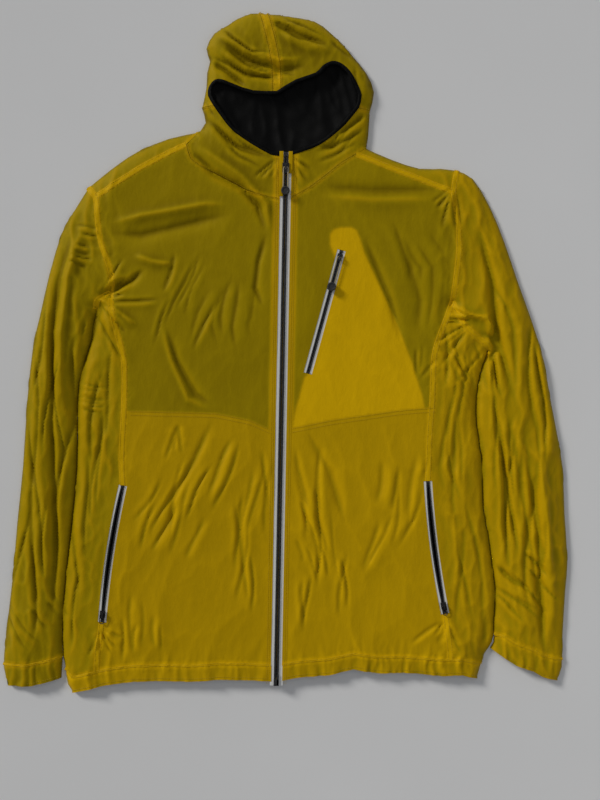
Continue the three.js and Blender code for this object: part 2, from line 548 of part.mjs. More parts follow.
// ---- sleeves ----
const CUFF_REACH = 25;
const CUFF_DROP = 20; // how far the cuff's zone runs past its mouth
const MOUTH_CLEAR = 5; // the body's side is followed down to this far above the cuff's corner
const OUTER_RUN = 8; // points of the sleeve's outer edge that the cuff follows
const INNER_RUN = 6; // and of its inner edge
for (const [name, s, away] of [["right", right, -1], ["left", left, 1]]) {
  const beside = shiftedX(s.bodySide.slice(1), away * SLEEVE_CLEAR)
    .filter((p) => p.y > last(s.cuffMouth).y + MOUTH_CLEAR);
  const innerEdge = [last(s.armholeFoot), ...beside];
  const outline = [
    ...s.sleeveOuter, ...s.cuffMouth, ...reversed(innerEdge), ...reversed(s.armholeFoot),
    ...reversed(s.armholeTop),
  ];
  const cuffZone = band(s.cuffMouth, -CUFF_DROP, CUFF_HEIGHT, CUFF_REACH);
  const keep = band(s.cuffMouth, -CUFF_DROP, CUFF_HEIGHT + GAP, CUFF_REACH);
  add(`${name}_sleeve_back`, without(flatPiece(outline, 0), keep), YELLOW);
  add(`${name}_sleeve_front`, without(common(frontSheet, column(outline)), keep), YELLOW);
  // The cuff and the elastic inside it close round the wrist between the sleeve's folded edges.
  const outerFoot = last(s.sleeveOuter);
  const innerFoot = last(innerEdge);
  const wrist = new THREE.Vector2((first(s.cuffMouth).x + last(s.cuffMouth).x) / 2, FAR_BELOW);
  const tunnel = (dx) => [
    ...shiftedX(s.sleeveOuter.slice(-OUTER_RUN), -away * dx),
    new THREE.Vector2(outerFoot.x - away * dx, FAR_BELOW), wrist,
    new THREE.Vector2(innerFoot.x + away * dx, FAR_BELOW),
    ...shiftedX(reversed(innerEdge.slice(-INNER_RUN)), away * dx),
  ];
  const cuff = casing(inset(outline, GAP / 2), tunnel(CLOTH), 0, cuffZone);
  add(`${name}_cuff`, joined(cuff.front, cuff.rest), YELLOW);
  const from = (CUFF_HEIGHT - ELASTIC_HEIGHT) / 2;
  const elastic = casing(tunnel(ELASTIC_INSET), tunnel(ELASTIC_INSET + CLOTH), 1,
    band(s.cuffMouth, from, from + ELASTIC_HEIGHT, CUFF_REACH));
  add(`${name}_cuff_elastic`, joined(elastic.front, elastic.rest), BLACK);
}

// ---- hood and collar ----
const hoodOutline = [
  ...reversed(right.hoodEdge), ...reversed(right.hoodSide), ...backNeck,
  ...left.hoodSide, ...left.hoodEdge,
];
add("hood_back", flatPiece(hoodOutline, 0), YELLOW);
add("hood_lining", drawnIn(hoodOutline, LINING_INSET, LINING_Z, LINING_Z + CLOTH), BLACK);
// The strip's line is carried on past the hood's edge and into the face opening.
const stripLine = [new THREE.Vector2(-36, 500), ...hoodCentre, new THREE.Vector2(-11, 340)];
const stripOutline = (width) => [
  ...shiftedX(stripLine, -width / 2), ...reversed(shiftedX(stripLine, width / 2)),
];
const stripPlate = (width) => toManifold(plate(stripOutline(width), CUTTER_LOW, TALL));
const faceRim = [
  ...right.rimLow, ...right.rimHigh, ...reversed(left.rimHigh), ...reversed(left.rimLow),
];
const face = toManifold(plate(inset(faceRim, -GAP / 2), CUTTER_LOW, TALL));
for (const [name, s] of [["right", right], ["left", left]]) {
  const collar = [...s.neckTop, ...s.neck, ...s.rimLow, ...reversed(s.hoodSide)];
  const crown = [...s.hoodEdge, ...hoodCentre, ...reversed(s.rimHigh)];
  const collarCloth = common(frontSheet, column(collar));
  const crownCloth = common(frontSheet, column(crown));
  add(`${name}_collar`, without(collarCloth, face, mainWindow), YELLOW);
  add(`${name}_hood_panel`,
    without(crownCloth, face, stripPlate(STRIP_WIDTH + 2 * GAP)), YELLOW);
}
const stripCloth = common(frontSheet, stripPlate(STRIP_WIDTH), column(hoodOutline));
add("hood_centre_strip", without(stripCloth, face), YELLOW);
const bindingRing = without(
  column(faceRim), drawnIn(faceRim, BINDING, 2 * CUTTER_LOW, TALL - CUTTER_LOW));
add("face_opening_binding", without(common(frontSheet, bindingRing), mainWindow), BLACK);

// ---- inside ----
// The storm flap hangs from a stitched edge beside the main zip and passes under the sliders.
const FLAP_CLEAR = 0.9; // between the main slider's lower plate and the storm flap
const FLAP = { right: -12, left: 20, stitched: 16, foot: 30, belowTop: 18 };
const flapZ = MAIN.coilBottom - GAP - MAIN.plate - FLAP_CLEAR - CLOTH;
const flapTop = mainLength - FLAP.belowTop;
add("storm_flap", placed(mainFrame,
  box(FLAP.right, FLAP.left, FLAP.foot, flapTop, flapZ, flapZ + CLOTH),
  box(FLAP.stitched, FLAP.left, FLAP.foot, flapTop, flapZ + CLOTH / 2, LOFT - GAP)), YELLOW);

const BAG_CLEAR = 11; // a pocket bag starts this far inside its zip
const BAG_BESIDE = { right: 15, left: 23 }; // and ends this far beside the main zip and its flap
const corner = (x, y) => new THREE.Vector2(x, y);
const bagFloor = Math.max(...hem.map((p) => p.y)) + HEM_HEIGHT + GAP;
const besideMain = (y, offset) => corner(
  THREE.MathUtils.mapLinear(y, ZIP_BOTTOM.y, ZIP_TOP.y, ZIP_BOTTOM.x, ZIP_TOP.x) + offset, y);
add("right_hand_pocket_bag", flatPiece([
  corner(-212, -82), corner(-98, -85), corner(-49, -95),
  besideMain(-108, -BAG_BESIDE.right), besideMain(bagFloor, -BAG_BESIDE.right),
  corner(last(rightZip.line).x + BAG_CLEAR, bagFloor),
  ...reversed(shiftedX(rightZip.line, BAG_CLEAR)),
], BAG_Z), YELLOW);
const leftBagTop = [
  besideMain(-105, BAG_BESIDE.left), corner(62, -94), corner(159, -80), corner(192, -77),
];
add("left_hand_pocket_bag", flatPiece([
  ...leftBagTop, ...shiftedX(leftZip.line, -BAG_CLEAR),
  corner(last(leftZip.line).x - BAG_CLEAR, bagFloor), besideMain(bagFloor, BAG_BESIDE.left),
], BAG_Z), YELLOW);

const CHEST_BAG_SIDE = 150; // the chest bag's foot ends here
const BAG_APART = 5; // between the chest bag and the hand pocket bag below it
const chestAcross = chestUp.clone().rotateAround(corner(0, 0), -Math.PI / 2).normalize();
const besideChest = (at) => at.clone().addScaledVector(chestAcross, BAG_CLEAR);
add("chest_pocket_bag", flatPiece([
  besideChest(CHEST_TOP).add(corner(7, 25)), corner(100, 165), corner(112, 140),
  corner(131, 87), corner(151, 31), corner(162, -24), corner(166, -74),
  ...reversed(leftBagTop.slice(1, 3))
    .map((p) => corner(Math.min(p.x, CHEST_BAG_SIDE), p.y + BAG_APART)),
  besideChest(CHEST_BOTTOM),
], BAG_Z), YELLOW);

const HANGER = { half: 28, low: 262, high: 268 };
const hangerZ = LINING_Z + CLOTH + GAP;
add("hang_loop", toManifold(box(
  -HANGER.half, HANGER.half, HANGER.low, HANGER.high, hangerZ, hangerZ + CLOTH)), BLACK);

// The jacket's own frame: the middle of its box, with the surface it lies on at Z = 0.
const bounds = new THREE.Box3().setFromObject(jacket);
const middle = bounds.getCenter(new THREE.Vector3());
jacket.position.set(-middle.x, -middle.y, -bounds.min.z);

export default jacket;
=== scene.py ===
"""A thin hooded shell jacket, zipped up and laid flat on its back on a pale floor.

Metres. X runs to the wearer's left, Y from the hem to the hood, Z up. Outlines come from the fixed frame;
this script cuts the cloth finely, drapes it, sews it and gives every piece its finish.
"""

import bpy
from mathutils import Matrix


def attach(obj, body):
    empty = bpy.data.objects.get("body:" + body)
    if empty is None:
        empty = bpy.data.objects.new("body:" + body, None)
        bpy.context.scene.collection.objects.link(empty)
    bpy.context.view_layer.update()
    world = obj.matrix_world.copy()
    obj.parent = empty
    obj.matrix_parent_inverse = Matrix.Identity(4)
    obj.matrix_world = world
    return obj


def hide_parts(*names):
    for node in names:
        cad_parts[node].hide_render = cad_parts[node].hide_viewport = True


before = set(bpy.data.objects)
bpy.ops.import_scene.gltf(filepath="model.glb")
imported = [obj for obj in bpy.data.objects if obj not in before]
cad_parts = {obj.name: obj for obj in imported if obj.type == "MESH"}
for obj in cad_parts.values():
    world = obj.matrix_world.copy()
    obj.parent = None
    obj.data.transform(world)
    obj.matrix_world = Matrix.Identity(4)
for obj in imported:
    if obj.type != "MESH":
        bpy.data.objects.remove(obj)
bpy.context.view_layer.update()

import logging
import math
from dataclasses import dataclass, field
from enum import Enum
from typing import Any, Callable, Iterable, Sequence, Union

import bmesh
import bpy
import numpy as np
from mathutils import Matrix, Vector, kdtree
from mathutils.geometry import delaunay_2d_cdt

log = logging.getLogger("jacket")
MM = 0.001
Number = Union[float, "Socket"]
SIDES = ("right", "left")


# ---------------------------------------------------------------- shader helpers
class Socket:
    """One output socket, with the arithmetic that adds Math nodes to its material."""

    def __init__(self, paint: "Paint", link: Any) -> None:
        """Args: paint: the material it belongs to. link: the node's output socket."""
        self.paint = paint
        self.link = link

    def _math(self, operation: str, *values: Number) -> "Socket":
        """Args: operation: a Math node's operation. values: its inputs. Returns: its value."""
        return self.paint.node("ShaderNodeMath", {"operation": operation}, *values)

    def __add__(self, other: Number) -> "Socket":
        """Returns: the sum."""
        return self._math("ADD", self, other)

    def __sub__(self, other: Number) -> "Socket":
        """Returns: the difference."""
        return self._math("SUBTRACT", self, other)

    def __rsub__(self, other: Number) -> "Socket":
        """Returns: the difference, the other way round."""
        return self._math("SUBTRACT", other, self)

    def __mul__(self, other: Number) -> "Socket":
        """Returns: the product."""
        return self._math("MULTIPLY", self, other)

    def __truediv__(self, other: Number) -> "Socket":
        """Returns: the quotient."""
        return self._math("DIVIDE", self, other)

    def __pow__(self, other: Number) -> "Socket":
        """Returns: the power."""
        return self._math("POWER", self, other)

    __radd__ = __add__
    __rmul__ = __mul__

    def sin(self) -> "Socket":
        """Returns: the sine."""
        return self._math("SINE", self)

    def abs(self) -> "Socket":
        """Returns: the size without its sign."""
        return self._math("ABSOLUTE", self)

    def clamp(self) -> "Socket":
        """Returns: the value held between 0 and 1."""
        return self.paint.node("ShaderNodeClamp", {}, self)

    def above(self, limit: Number) -> "Socket":
        """Returns: 1 where the value is over the limit, else 0."""
        return self._math("GREATER_THAN", self, limit)


class Paint:
    """A node material in the making, around one Principled shader."""

    def __init__(self, name: str, roughness: float, **constants: float) -> None:
        """Args: name: the material's name. roughness: its plain roughness. constants: other shader
            inputs, with _ for a space.
        """
        self.material = bpy.data.materials.new(name)
        self.material.use_nodes = True
        self.tree = self.material.node_tree
        self.shader = self.tree.nodes["Principled BSDF"]
        self.set("Roughness", roughness)
        for key, value in constants.items():
            self.set(key.replace("_", " "), value)

    def set(self, key: str, value: Any) -> None:
        """Feeds one input of the shader. Args: key: its name. value: a number, a colour or a socket."""
        target = self.shader.inputs[key]
        if isinstance(value, Socket):
            self.tree.links.new(value.link, target)
        else:
            target.default_value = value

    def node(
        self, kind: str, settings: dict[str, Any], *values: Any, out: Union[int, str] = 0, **named: Any,
    ) -> Socket:
        """Adds a node.

        Args:
            kind: the node's type. settings: its properties, or "stops" for a ramp. values: inputs in order.
            out: which output to take. named: inputs by name, with _ for a space.
        Returns:
            The output socket.
        """
        node = self.tree.nodes.new(kind)
        for key, value in settings.items():
            if key == "stops":
                ramp = node.color_ramp
                for index, (place, colour) in enumerate(value):
                    stop = ramp.elements[index] if index < 2 else ramp.elements.new(1.0)
                    stop.position, stop.color = place, (*colour, 1.0)
            else:
                setattr(node, key, value)
        for key, value in [*enumerate(values), *((k.replace("_", " "), v) for k, v in named.items())]:
            if isinstance(value, Socket):
                self.tree.links.new(value.link, node.inputs[key])
            else:
                node.inputs[key].default_value = value
        return Socket(self, node.outputs[out])

    def place(self) -> Socket:
        """Returns: the point on the piece, in metres."""
        return self.node("ShaderNodeTexCoord", {}, out="Object")

    def split(self, vector: Socket) -> tuple[Socket, Socket, Socket]:
        """Returns: the three parts of a vector."""
        first = self.node("ShaderNodeSeparateXYZ", {}, vector)
        return tuple(Socket(self, o) for o in first.link.node.outputs[:3])

    def attribute(self, name: str) -> Socket:
        """Returns: a number stored on the mesh's points."""
        return self.node("ShaderNodeAttribute", {"attribute_name": name}, out="Fac")

    def noise(self, scale: float, detail: float = 3.0, stretch: Sequence[float] = (1, 1, 1)) -> Socket:
        """Args: scale: features per metre. detail: octaves. stretch: a scale on each axis.
        Returns: noise about 0.5.
        """
        mapped = self.node("ShaderNodeMapping", {}, self.place(), Scale=tuple(stretch))
        return self.node("ShaderNodeTexNoise", {}, mapped, Scale=scale, Detail=detail, Roughness=0.55)

    def mix(self, share: Number, low: Any, high: Any) -> Socket:
        """Args: share: 0 for the first colour, 1 for the second. low, high: colours.
        Returns: the mixed colour.
        """
        node = self.tree.nodes.new("ShaderNodeMix")
        node.data_type = "RGBA"
        for index, value in ((0, share), (6, low), (7, high)):
            if isinstance(value, Socket):
                self.tree.links.new(value.link, node.inputs[index])
            else:
                node.inputs[index].default_value = (*value, 1.0) if isinstance(value, tuple) else value
        return Socket(self, node.outputs[2])

    def bump(self, height: Socket, strength: float, distance: float, under: "Socket | None" = None) -> Socket:
        """Args: height: the relief, 0 to 1. strength, distance: how deep. under: a normal below it.
        Returns: the normal.
        """
        extra = {"Normal": under} if under is not None else {}
        return self.node("ShaderNodeBump", {}, Strength=strength, Distance=distance, Height=height, **extra)


Colour = tuple[float, float, float]


@dataclass(frozen=True)
class ShellCloth:
    """Thin golden plain-weave nylon.

    It is greenish where one layer lies over the dark lining, warmer where double, and carries painted shade
    and highlight.
    """

    name: str = "shell_nylon"
    tones: tuple[tuple[float, Colour], ...] = (
        (0.0, (0.21, 0.142, 0.0006)),
        (0.30, (0.37, 0.258, 0.001)),
        (0.55, (0.50, 0.306, 0.001)),
        (1.0, (0.78, 0.465, 0.001)),
    )
    sheen_tint: Colour = (1.0, 0.8, 0.15)
    gloss_tint: Colour = (1.0, 0.82, 0.25)
    thread_pitch: float = 0.00042
    cloud_share: float = 0.16  # how much large stains, fine grain and the folds' painted shade and highlight change the tone
    fine_share: float = 0.05
    # painted shade in the creases and painted highlight on the ridges: how much they change the tone
    crease_shade_share: float = 0.38
    crease_depth: float = 0.0022
    crumple_depth: float = 0.0008
    weave_depth: float = 0.00006

    def paint(self) -> bpy.types.Material:
        """Returns: the cloth's material."""
        p = Paint(self.name, 0.5, Sheen_Weight=0.04, Sheen_Roughness=0.4, Specular_IOR_Level=0.14)
        p.set("Sheen Tint", (*self.sheen_tint, 1.0))
        p.set("Specular Tint", (*self.gloss_tint, 1.0))
        # the tone stored on the cloth: how much of it lies doubled, with painted shade on some pieces
        tone = p.attribute("layers")
        # painted shade and highlight: the cloth's height above its smoothed height, low in creases, high on
        # ridges
        relief = p.attribute("relief")
        cloud = p.noise(16.0, 3.0)
        fine = p.noise(130.0, 4.0, (1, 0.6, 1))
        grain = (cloud - 0.5) * self.cloud_share + (fine - 0.5) * self.fine_share
        shade = (tone + grain + (relief - 0.5) * self.crease_shade_share).clamp()
        p.set("Base Color", p.node("ShaderNodeValToRGB", {"stops": self.tones}, shade))
        x, y, _ = p.split(p.place())
        turn = 2 * math.pi / self.thread_pitch
        weave = (x * turn).sin() * (y * turn).sin() * 0.5 + 0.5
        crease = (p.noise(75.0, 5.0, (1, 0.45, 1)) - 0.5).abs() * 2.0
        crumple = (p.noise(210.0, 3.0, (1, 0.7, 1)) - 0.5).abs() * 2.0
        soft = p.bump(crease, 0.22, self.crease_depth)
        finer = p.bump(crumple, 0.14, self.crumple_depth, soft)
        p.set("Normal", p.bump(weave, 0.18, self.weave_depth, finer))
        p.set("Roughness", fine * 0.16 + 0.50)
        return p.material


@dataclass(frozen=True)
class DarkCloth:
    """Black woven or knitted cloth: the linings, binding and elastics."""

    name: str
    colour: Colour = (0.0022, 0.0022, 0.0020)
    pale: Colour = (0.0065, 0.0065, 0.0062)
    pitch: float = 0.0007
    ribs: float = 1.0

    def paint(self) -> bpy.types.Material:
        """Returns: the cloth's material."""
        p = Paint(self.name, 0.7, Sheen_Weight=0.0, Specular_IOR_Level=0.07)
        x, y, _ = p.split(p.place())
        turn = 2 * math.pi / self.pitch
        rib = (x * turn).sin() * (y * (turn * self.ribs)).sin() * 0.5 + 0.5
        cloud = p.noise(60.0, 4.0)
        p.set("Base Color", p.mix((cloud * 0.6 + rib * 0.3).clamp(), self.colour, self.pale))
        p.set("Roughness", cloud * 0.25 + 0.5)
        p.set("Normal", p.bump(rib, 0.4, 0.00012, p.bump(p.noise(140.0, 4.0), 0.35, 0.0012)))
        return p.material


@dataclass(frozen=True)
class StripedTape:
    """Zip tape: black twill beside the teeth and a white reflective stripe outside it."""

    name: str = "reflective_tape"
    white: Colour = (0.80, 0.80, 0.77)
    black: Colour = (0.015, 0.015, 0.014)

    def paint(self) -> bpy.types.Material:
        """Returns: the tape's material. Its "stripe" attribute is 1 on the stripe."""
        p = Paint(self.name, 0.38, Specular_IOR_Level=0.6)
        stripe = p.attribute("stripe")
        wear = p.noise(260.0, 4.0)
        x, y, _ = p.split(p.place())
        twill = ((x + y) * (2 * math.pi / 0.0008)).sin() * 0.5 + 0.5
        pale = p.mix((wear * 0.5).clamp(), self.white, (0.62, 0.62, 0.60))
        dark = p.mix(twill, self.black, (0.03, 0.03, 0.028))
        p.set("Base Color", p.mix(stripe, dark, pale))
        p.set("Roughness", wear * 0.2 + 0.3)
        p.set("Normal", p.bump(twill, 0.35, 0.00010))
        return p.material


@dataclass(frozen=True)
class HardFinish:
    """Moulded nylon, enamelled metal or rubber: plain, dark and slightly uneven."""

    name: str
    colour: Colour
    worn: Colour
    roughness: float
    metallic: float = 0.0
    grain: float = 900.0
    relief: float = 0.00005

    def paint(self) -> bpy.types.Material:
        """Returns: the material."""
        p = Paint(self.name, self.roughness, Metallic=self.metallic, Specular_IOR_Level=0.5)
        grain = p.noise(self.grain, 3.0)
        wear = (p.noise(self.grain * 0.25, 5.0) - 0.52) * 4.0
        p.set("Base Color", p.mix(wear.clamp(), self.colour, self.worn))
        p.set("Roughness", grain * 0.18 + (self.roughness - 0.09))
        p.set("Normal", p.bump(grain, 0.3, self.relief))
        return p.material


@dataclass(frozen=True)
class BraidedCord:
    """Round braided cord, pale grey with a yellow fleck."""

    name: str = "braided_cord"

    def paint(self) -> bpy.types.Material:
        """Returns: the cord's material."""
        p = Paint(self.name, 0.6, Sheen_Weight=0.2, Specular_IOR_Level=0.35)
        x, y, z = p.split(p.place())
        turn = 2 * math.pi / 0.0014
        plait = ((x + y) * turn).sin() * ((x - y + z) * turn).sin() * 0.5 + 0.5
        colour = p.mix(plait, (0.34, 0.24, 0.03), (0.46, 0.46, 0.44))
        fleck = p.noise(900.0, 1.0).above(0.64)
        p.set("Base Color", p.mix(fleck, colour, (0.5, 0.34, 0.02)))
        p.set("Normal", p.bump(plait, 0.6, 0.0002))
        p.set("Roughness", plait * 0.2 + 0.5)
        return p.material


class Wardrobe:
    """Every finish, painted once."""

    def __init__(self) -> None:
        """Paints the finishes."""
        self.shell = ShellCloth().paint()
        self.lining = DarkCloth("black_lining").paint()
        self.binding = DarkCloth("stretch_binding", pitch=0.0011, ribs=0.5).paint()
        self.elastic = DarkCloth(
            "knitted_elastic", (0.02, 0.02, 0.02), (0.06, 0.06, 0.06), pitch=0.0016, ribs=0.3
        ).paint()
        self.tape = StripedTape().paint()
        self.coil = HardFinish("nylon_coil", (0.014, 0.014, 0.013), (0.05, 0.05, 0.048), 0.42).paint()
        self.enamel = HardFinish(
            "black_enamel", (0.02, 0.02, 0.02), (0.11, 0.11, 0.11), 0.32, metallic=0.6, grain=500.0
        ).paint()
        self.rubber = HardFinish(
            "soft_rubber", (0.018, 0.018, 0.018), (0.045, 0.045, 0.044), 0.62, grain=1500.0, relief=0.0001
        ).paint()
        self.cord = BraidedCord().paint()
        self.thread = HardFinish(
            "sewing_thread", (0.55, 0.38, 0.01), (0.68, 0.50, 0.05), 0.5, grain=2500.0, relief=0.0001
        ).paint()


# ---------------------------------------------------------------- geometry helpers
Line = np.ndarray  # points (n, 2)
TINY = 1e-12  # an area too small to be a face, in square metres
FACING_SHARE = 0.3  # of a unit normal that must point up, for a face to count as an upper one
CORNER = 0.5  # radians of bend at which a line has a corner
ROW_STEP = 0.87  # between rows of even triangles, for a side of 1
EDGE_MARGIN = 0.55  # the share of a triangle's side that inner points keep from the edge
TABLE = 256  # the noise repeats after this many features


def mesh_arrays(node: bpy.types.Object) -> tuple[np.ndarray, np.ndarray]:
    """Args: node: a CAD node. Returns: its merged points and triangles."""
    data = node.data
    points = np.zeros(len(data.vertices) * 3)
    data.vertices.foreach_get("co", points)
    data.calc_loop_triangles()
    faces = np.zeros(len(data.loop_triangles) * 3, int)
    data.loop_triangles.foreach_get("vertices", faces)
    keys = np.round(points.reshape(-1, 3), 6)
    unique, index = np.unique(keys, axis=0, return_inverse=True)
    return unique, index.reshape(-1)[faces].reshape(-1, 3)


def outline_loops(node: bpy.types.Object, facing: float = 1.0, floor: bool = False) -> list[Line]:
    """The edge of a piece as seen from above, or from below.

    Args:
        node: a CAD node. facing: 1 for its upper faces, -1 for its lower ones. floor: only faces at Z = 0.
    Returns:
        Its closed outlines, the outer one first.
    """
    points, faces = mesh_arrays(node)
    a, b, c = (points[faces[:, i]] for i in range(3))
    normal = np.cross(b - a, c - a)
    size = np.linalg.norm(normal, axis=1)
    keep = (size > TINY) & (normal[:, 2] * facing > FACING_SHARE * size)
    if floor:
        keep &= np.maximum(np.maximum(a[:, 2], b[:, 2]), c[:, 2]) < 0.1 * MM
    kept = faces[keep]
    directed = {(int(t[i]), int(t[(i + 1) % 3])) for t in kept for i in range(3)}
    following: dict[int, list[int]] = {}
    for start, end in directed:
        if (end, start) not in directed:
            following.setdefault(start, []).append(end)
    loops = []
    while following:
        start = next(iter(following))
        chain = [start]
        while chain[-1] in following:
            ends = following[chain[-1]]
            end = ends.pop()
            if not ends:
                del following[chain[-1]]
            if end == start:
                break
            chain.append(end)
        if len(chain) > 2:
            loops.append(points[chain][:, :2])
    loops.sort(key=lambda loop: -abs(area_of(loop)))
    return loops


def area_of(loop: Line) -> float:
    """Returns: a closed line's area, positive when it runs anticlockwise."""
    x, y = loop[:, 0], loop[:, 1]
    return 0.5 * float(np.dot(x, np.roll(y, -1)) - np.dot(y, np.roll(x, -1)))


def resampled(loop: Line, step: float, closed: bool = True) -> Line:
    """Args: loop: a line. step: the spacing wanted. closed: whether it joins up.
    Returns: it with even spacing, corners kept.
    """
    ring = np.vstack([loop, loop[:1]]) if closed else loop
    lengths = np.linalg.norm(np.diff(ring, axis=0), axis=1)
    keep = [0]
    run = 0.0
    for i in range(1, len(ring) - 1):
        run += lengths[i - 1]
        before, after = ring[i] - ring[keep[-1]], ring[i + 1] - ring[i]
        bend = abs(math.atan2(before[0] * after[1] - before[1] * after[0], float(before @ after)))
        if run > step or bend > CORNER:
            keep.append(i)
            run = 0.0
    keep.append(len(ring) - 1)
    out = []
    for a, b in zip(keep[:-1], keep[1:]):
        count = max(1, round(float(np.linalg.norm(ring[b] - ring[a])) / step))
        for k in range(count):
            out.append(ring[a] + (ring[b] - ring[a]) * k / count)
    if not closed:
        out.append(ring[-1])
    return np.array(out)


def inside(points: np.ndarray, loops: list[Line]) -> np.ndarray:
    """Args: points: places (n, 2). loops: closed outlines.
    Returns: True for each that is inside an odd number of them.
    """
    result = np.zeros(len(points), bool)
    for loop in loops:
        a, b = loop, np.roll(loop, -1, axis=0)
        for (ax, ay), (bx, by) in zip(a, b):
            if ay == by:
                continue
            crosses = ((ay > points[:, 1]) != (by > points[:, 1])) & (
                points[:, 0] < (bx - ax) * (points[:, 1] - ay) / (by - ay) + ax
            )
            result ^= crosses
    return result


def nearest_distance(points: np.ndarray, targets: np.ndarray) -> np.ndarray:
    """Args: points: places (n, 2). targets: places (m, 2).
    Returns: each one's distance to its nearest target.
    """
    tree = kdtree.KDTree(len(targets))
    for i, (x, y) in enumerate(targets):
        tree.insert((x, y, 0), i)
    tree.balance()
    return np.array([tree.find((x, y, 0))[2] for x, y in points])


def cut_cloth(loops: list[Line], step: float, united: bool = False) -> tuple[np.ndarray, np.ndarray]:
    """Cuts a flat piece into small even triangles.

    Args:
        loops: its outlines. step: the size of a triangle. united: whether the outlines overlap and all count.
    Returns:
        Its points (n, 2) and its triangles.
    """

    def kept(places: np.ndarray) -> np.ndarray:
        """Args: places: points (n, 2). Returns: True for each that is in the cloth."""
        if united:
            return np.any([inside(places, [rim]) for rim in rims], axis=0)
        return inside(places, rims)

    rims = [resampled(loop, step) for loop in loops]
    edge = np.vstack(rims)
    low, high = edge.min(0), edge.max(0)
    rows = np.arange(low[1], high[1], step * ROW_STEP)
    inner = []
    for j, y in enumerate(rows):
        xs = np.arange(low[0] + (j % 2) * step / 2, high[0], step)
        inner.append(np.column_stack([xs, np.full(len(xs), y)]))
    inner = np.vstack(inner) if inner else np.zeros((0, 2))
    inner = inner[kept(inner)]
    if len(inner):
        inner = inner[nearest_distance(inner, edge) > step * EDGE_MARGIN]
    points = np.vstack([edge, inner])
    borders, base = [], 0
    for rim in rims:
        borders += [(base + i, base + (i + 1) % len(rim)) for i in range(len(rim))]
        base += len(rim)
    cut = delaunay_2d_cdt([Vector(p) for p in points], borders, [], 0, 1e-7)
    placed = np.array([tuple(v) for v in cut[0]])
    faces = np.array([f for f in cut[2] if len(f) == 3])
    middles = placed[faces].mean(axis=1)
    faces = faces[kept(middles)]
    a, b, c = (placed[faces[:, i]] for i in range(3))
    turn = (b[:, 0] - a[:, 0]) * (c[:, 1] - a[:, 1]) - (b[:, 1] - a[:, 1]) * (c[:, 0] - a[:, 0])
    faces = faces[np.abs(turn) > TINY]
    turn = turn[np.abs(turn) > TINY]
    faces[turn < 0] = faces[turn < 0][:, ::-1]
    used, index = np.unique(faces, return_inverse=True)
    return placed[used], index.reshape(-1, 3)


def grid_faces(rows: int, columns: int) -> np.ndarray:
    """Args: rows, columns: of a grid of points, stored row by row. Returns: its triangles."""
    faces = []
    for i in range(rows - 1):
        for j in range(columns - 1):
            a = i * columns + j
            faces += [(a, a + 1, a + columns + 1), (a, a + columns + 1, a + columns)]
    return np.array(faces)


def thick_sheet(points: np.ndarray, faces: np.ndarray, thickness: float) -> tuple[np.ndarray, np.ndarray]:
    """Args: points: a surface's points (n, 3). faces: its triangles, facing up. thickness: of the
        cloth.
    Returns: a closed sheet.
    """
    count = len(points)
    below = points - np.array([0, 0, thickness])
    edges = {(int(t[i]), int(t[(i + 1) % 3])) for t in faces for i in range(3)}
    rim = sorted((a, b) for a, b in edges if (b, a) not in edges)
    walls = [f for a, b in rim for f in ((b, a, a + count), (b, a + count, b + count))]
    return np.vstack([points, below]), np.vstack([faces, faces[:, ::-1] + count, np.array(walls, int)])


def new_piece(name: str, points: np.ndarray, faces: Iterable[Sequence[int]], material: bpy.types.Material,
              smooth: float = 60.0) -> bpy.types.Object:
    """Args: name: the piece's. points, faces: its mesh. material: its finish. smooth: the sharpest
        smoothed edge.
    Returns: the piece.
    """
    data = bpy.data.meshes.new(name)
    data.from_pydata([tuple(map(float, p)) for p in points], [], [tuple(map(int, f)) for f in faces])
    data.update()
    piece = bpy.data.objects.new(name, data)
    bpy.context.scene.collection.objects.link(piece)
    data.materials.append(material)
    bpy.ops.object.select_all(action="DESELECT")
    bpy.context.view_layer.objects.active = piece
    piece.select_set(True)
    bpy.ops.object.shade_smooth_by_angle(angle=math.radians(smooth))
    piece.select_set(False)
    return piece


def store(piece: bpy.types.Object, name: str, values: np.ndarray) -> None:
    """Keeps a number on each point.

    Args:
        piece: a mesh. name: the attribute's. values: one for each point.
    """
    attribute = piece.data.attributes.new(name, "FLOAT", "POINT")
    attribute.data.foreach_set("value", np.asarray(values, np.float32))


class Grain:
    """Smooth seeded noise over the cloth."""

    def __init__(self, seed: int) -> None:
        """Args: seed: which noise."""
        angles = np.random.default_rng(seed).uniform(0, 2 * math.pi, (TABLE, TABLE))
        self.slopes = np.stack([np.cos(angles), np.sin(angles)], axis=-1)

    def __call__(self, x: np.ndarray, y: np.ndarray) -> np.ndarray:
        """Args: x, y: places, in features. Returns: noise from about -0.7 to 0.7."""
        ix, iy = np.floor(x).astype(int), np.floor(y).astype(int)
        fx, fy = x - ix, y - iy
        ease_x, ease_y = (f * f * f * (f * (f * 6 - 15) + 10) for f in (fx, fy))

        def corner(dx: int, dy: int) -> np.ndarray:
            """Args: dx, dy: which corner of the cell. Returns: what its slope adds."""
            slope = self.slopes[(ix + dx) % TABLE, (iy + dy) % TABLE]
            return slope[..., 0] * (fx - dx) + slope[..., 1] * (fy - dy)

        low = corner(0, 0) + (corner(1, 0) - corner(0, 0)) * ease_x
        high = corner(0, 1) + (corner(1, 1) - corner(0, 1)) * ease_x
        return low + (high - low) * ease_y


# ---------------------------------------------------------------- how the cloth lies
@dataclass(frozen=True)
class Fold:
    """A ridge, or with a negative height a crease, that runs along a line. Millimetres."""

    height: float
    width: float
    line: Sequence[Sequence[float]]
    steep: float = 1.3  # how much narrower its left side is, seen along the line
    taper: float = 0.3  # share of the length over which each end dies away


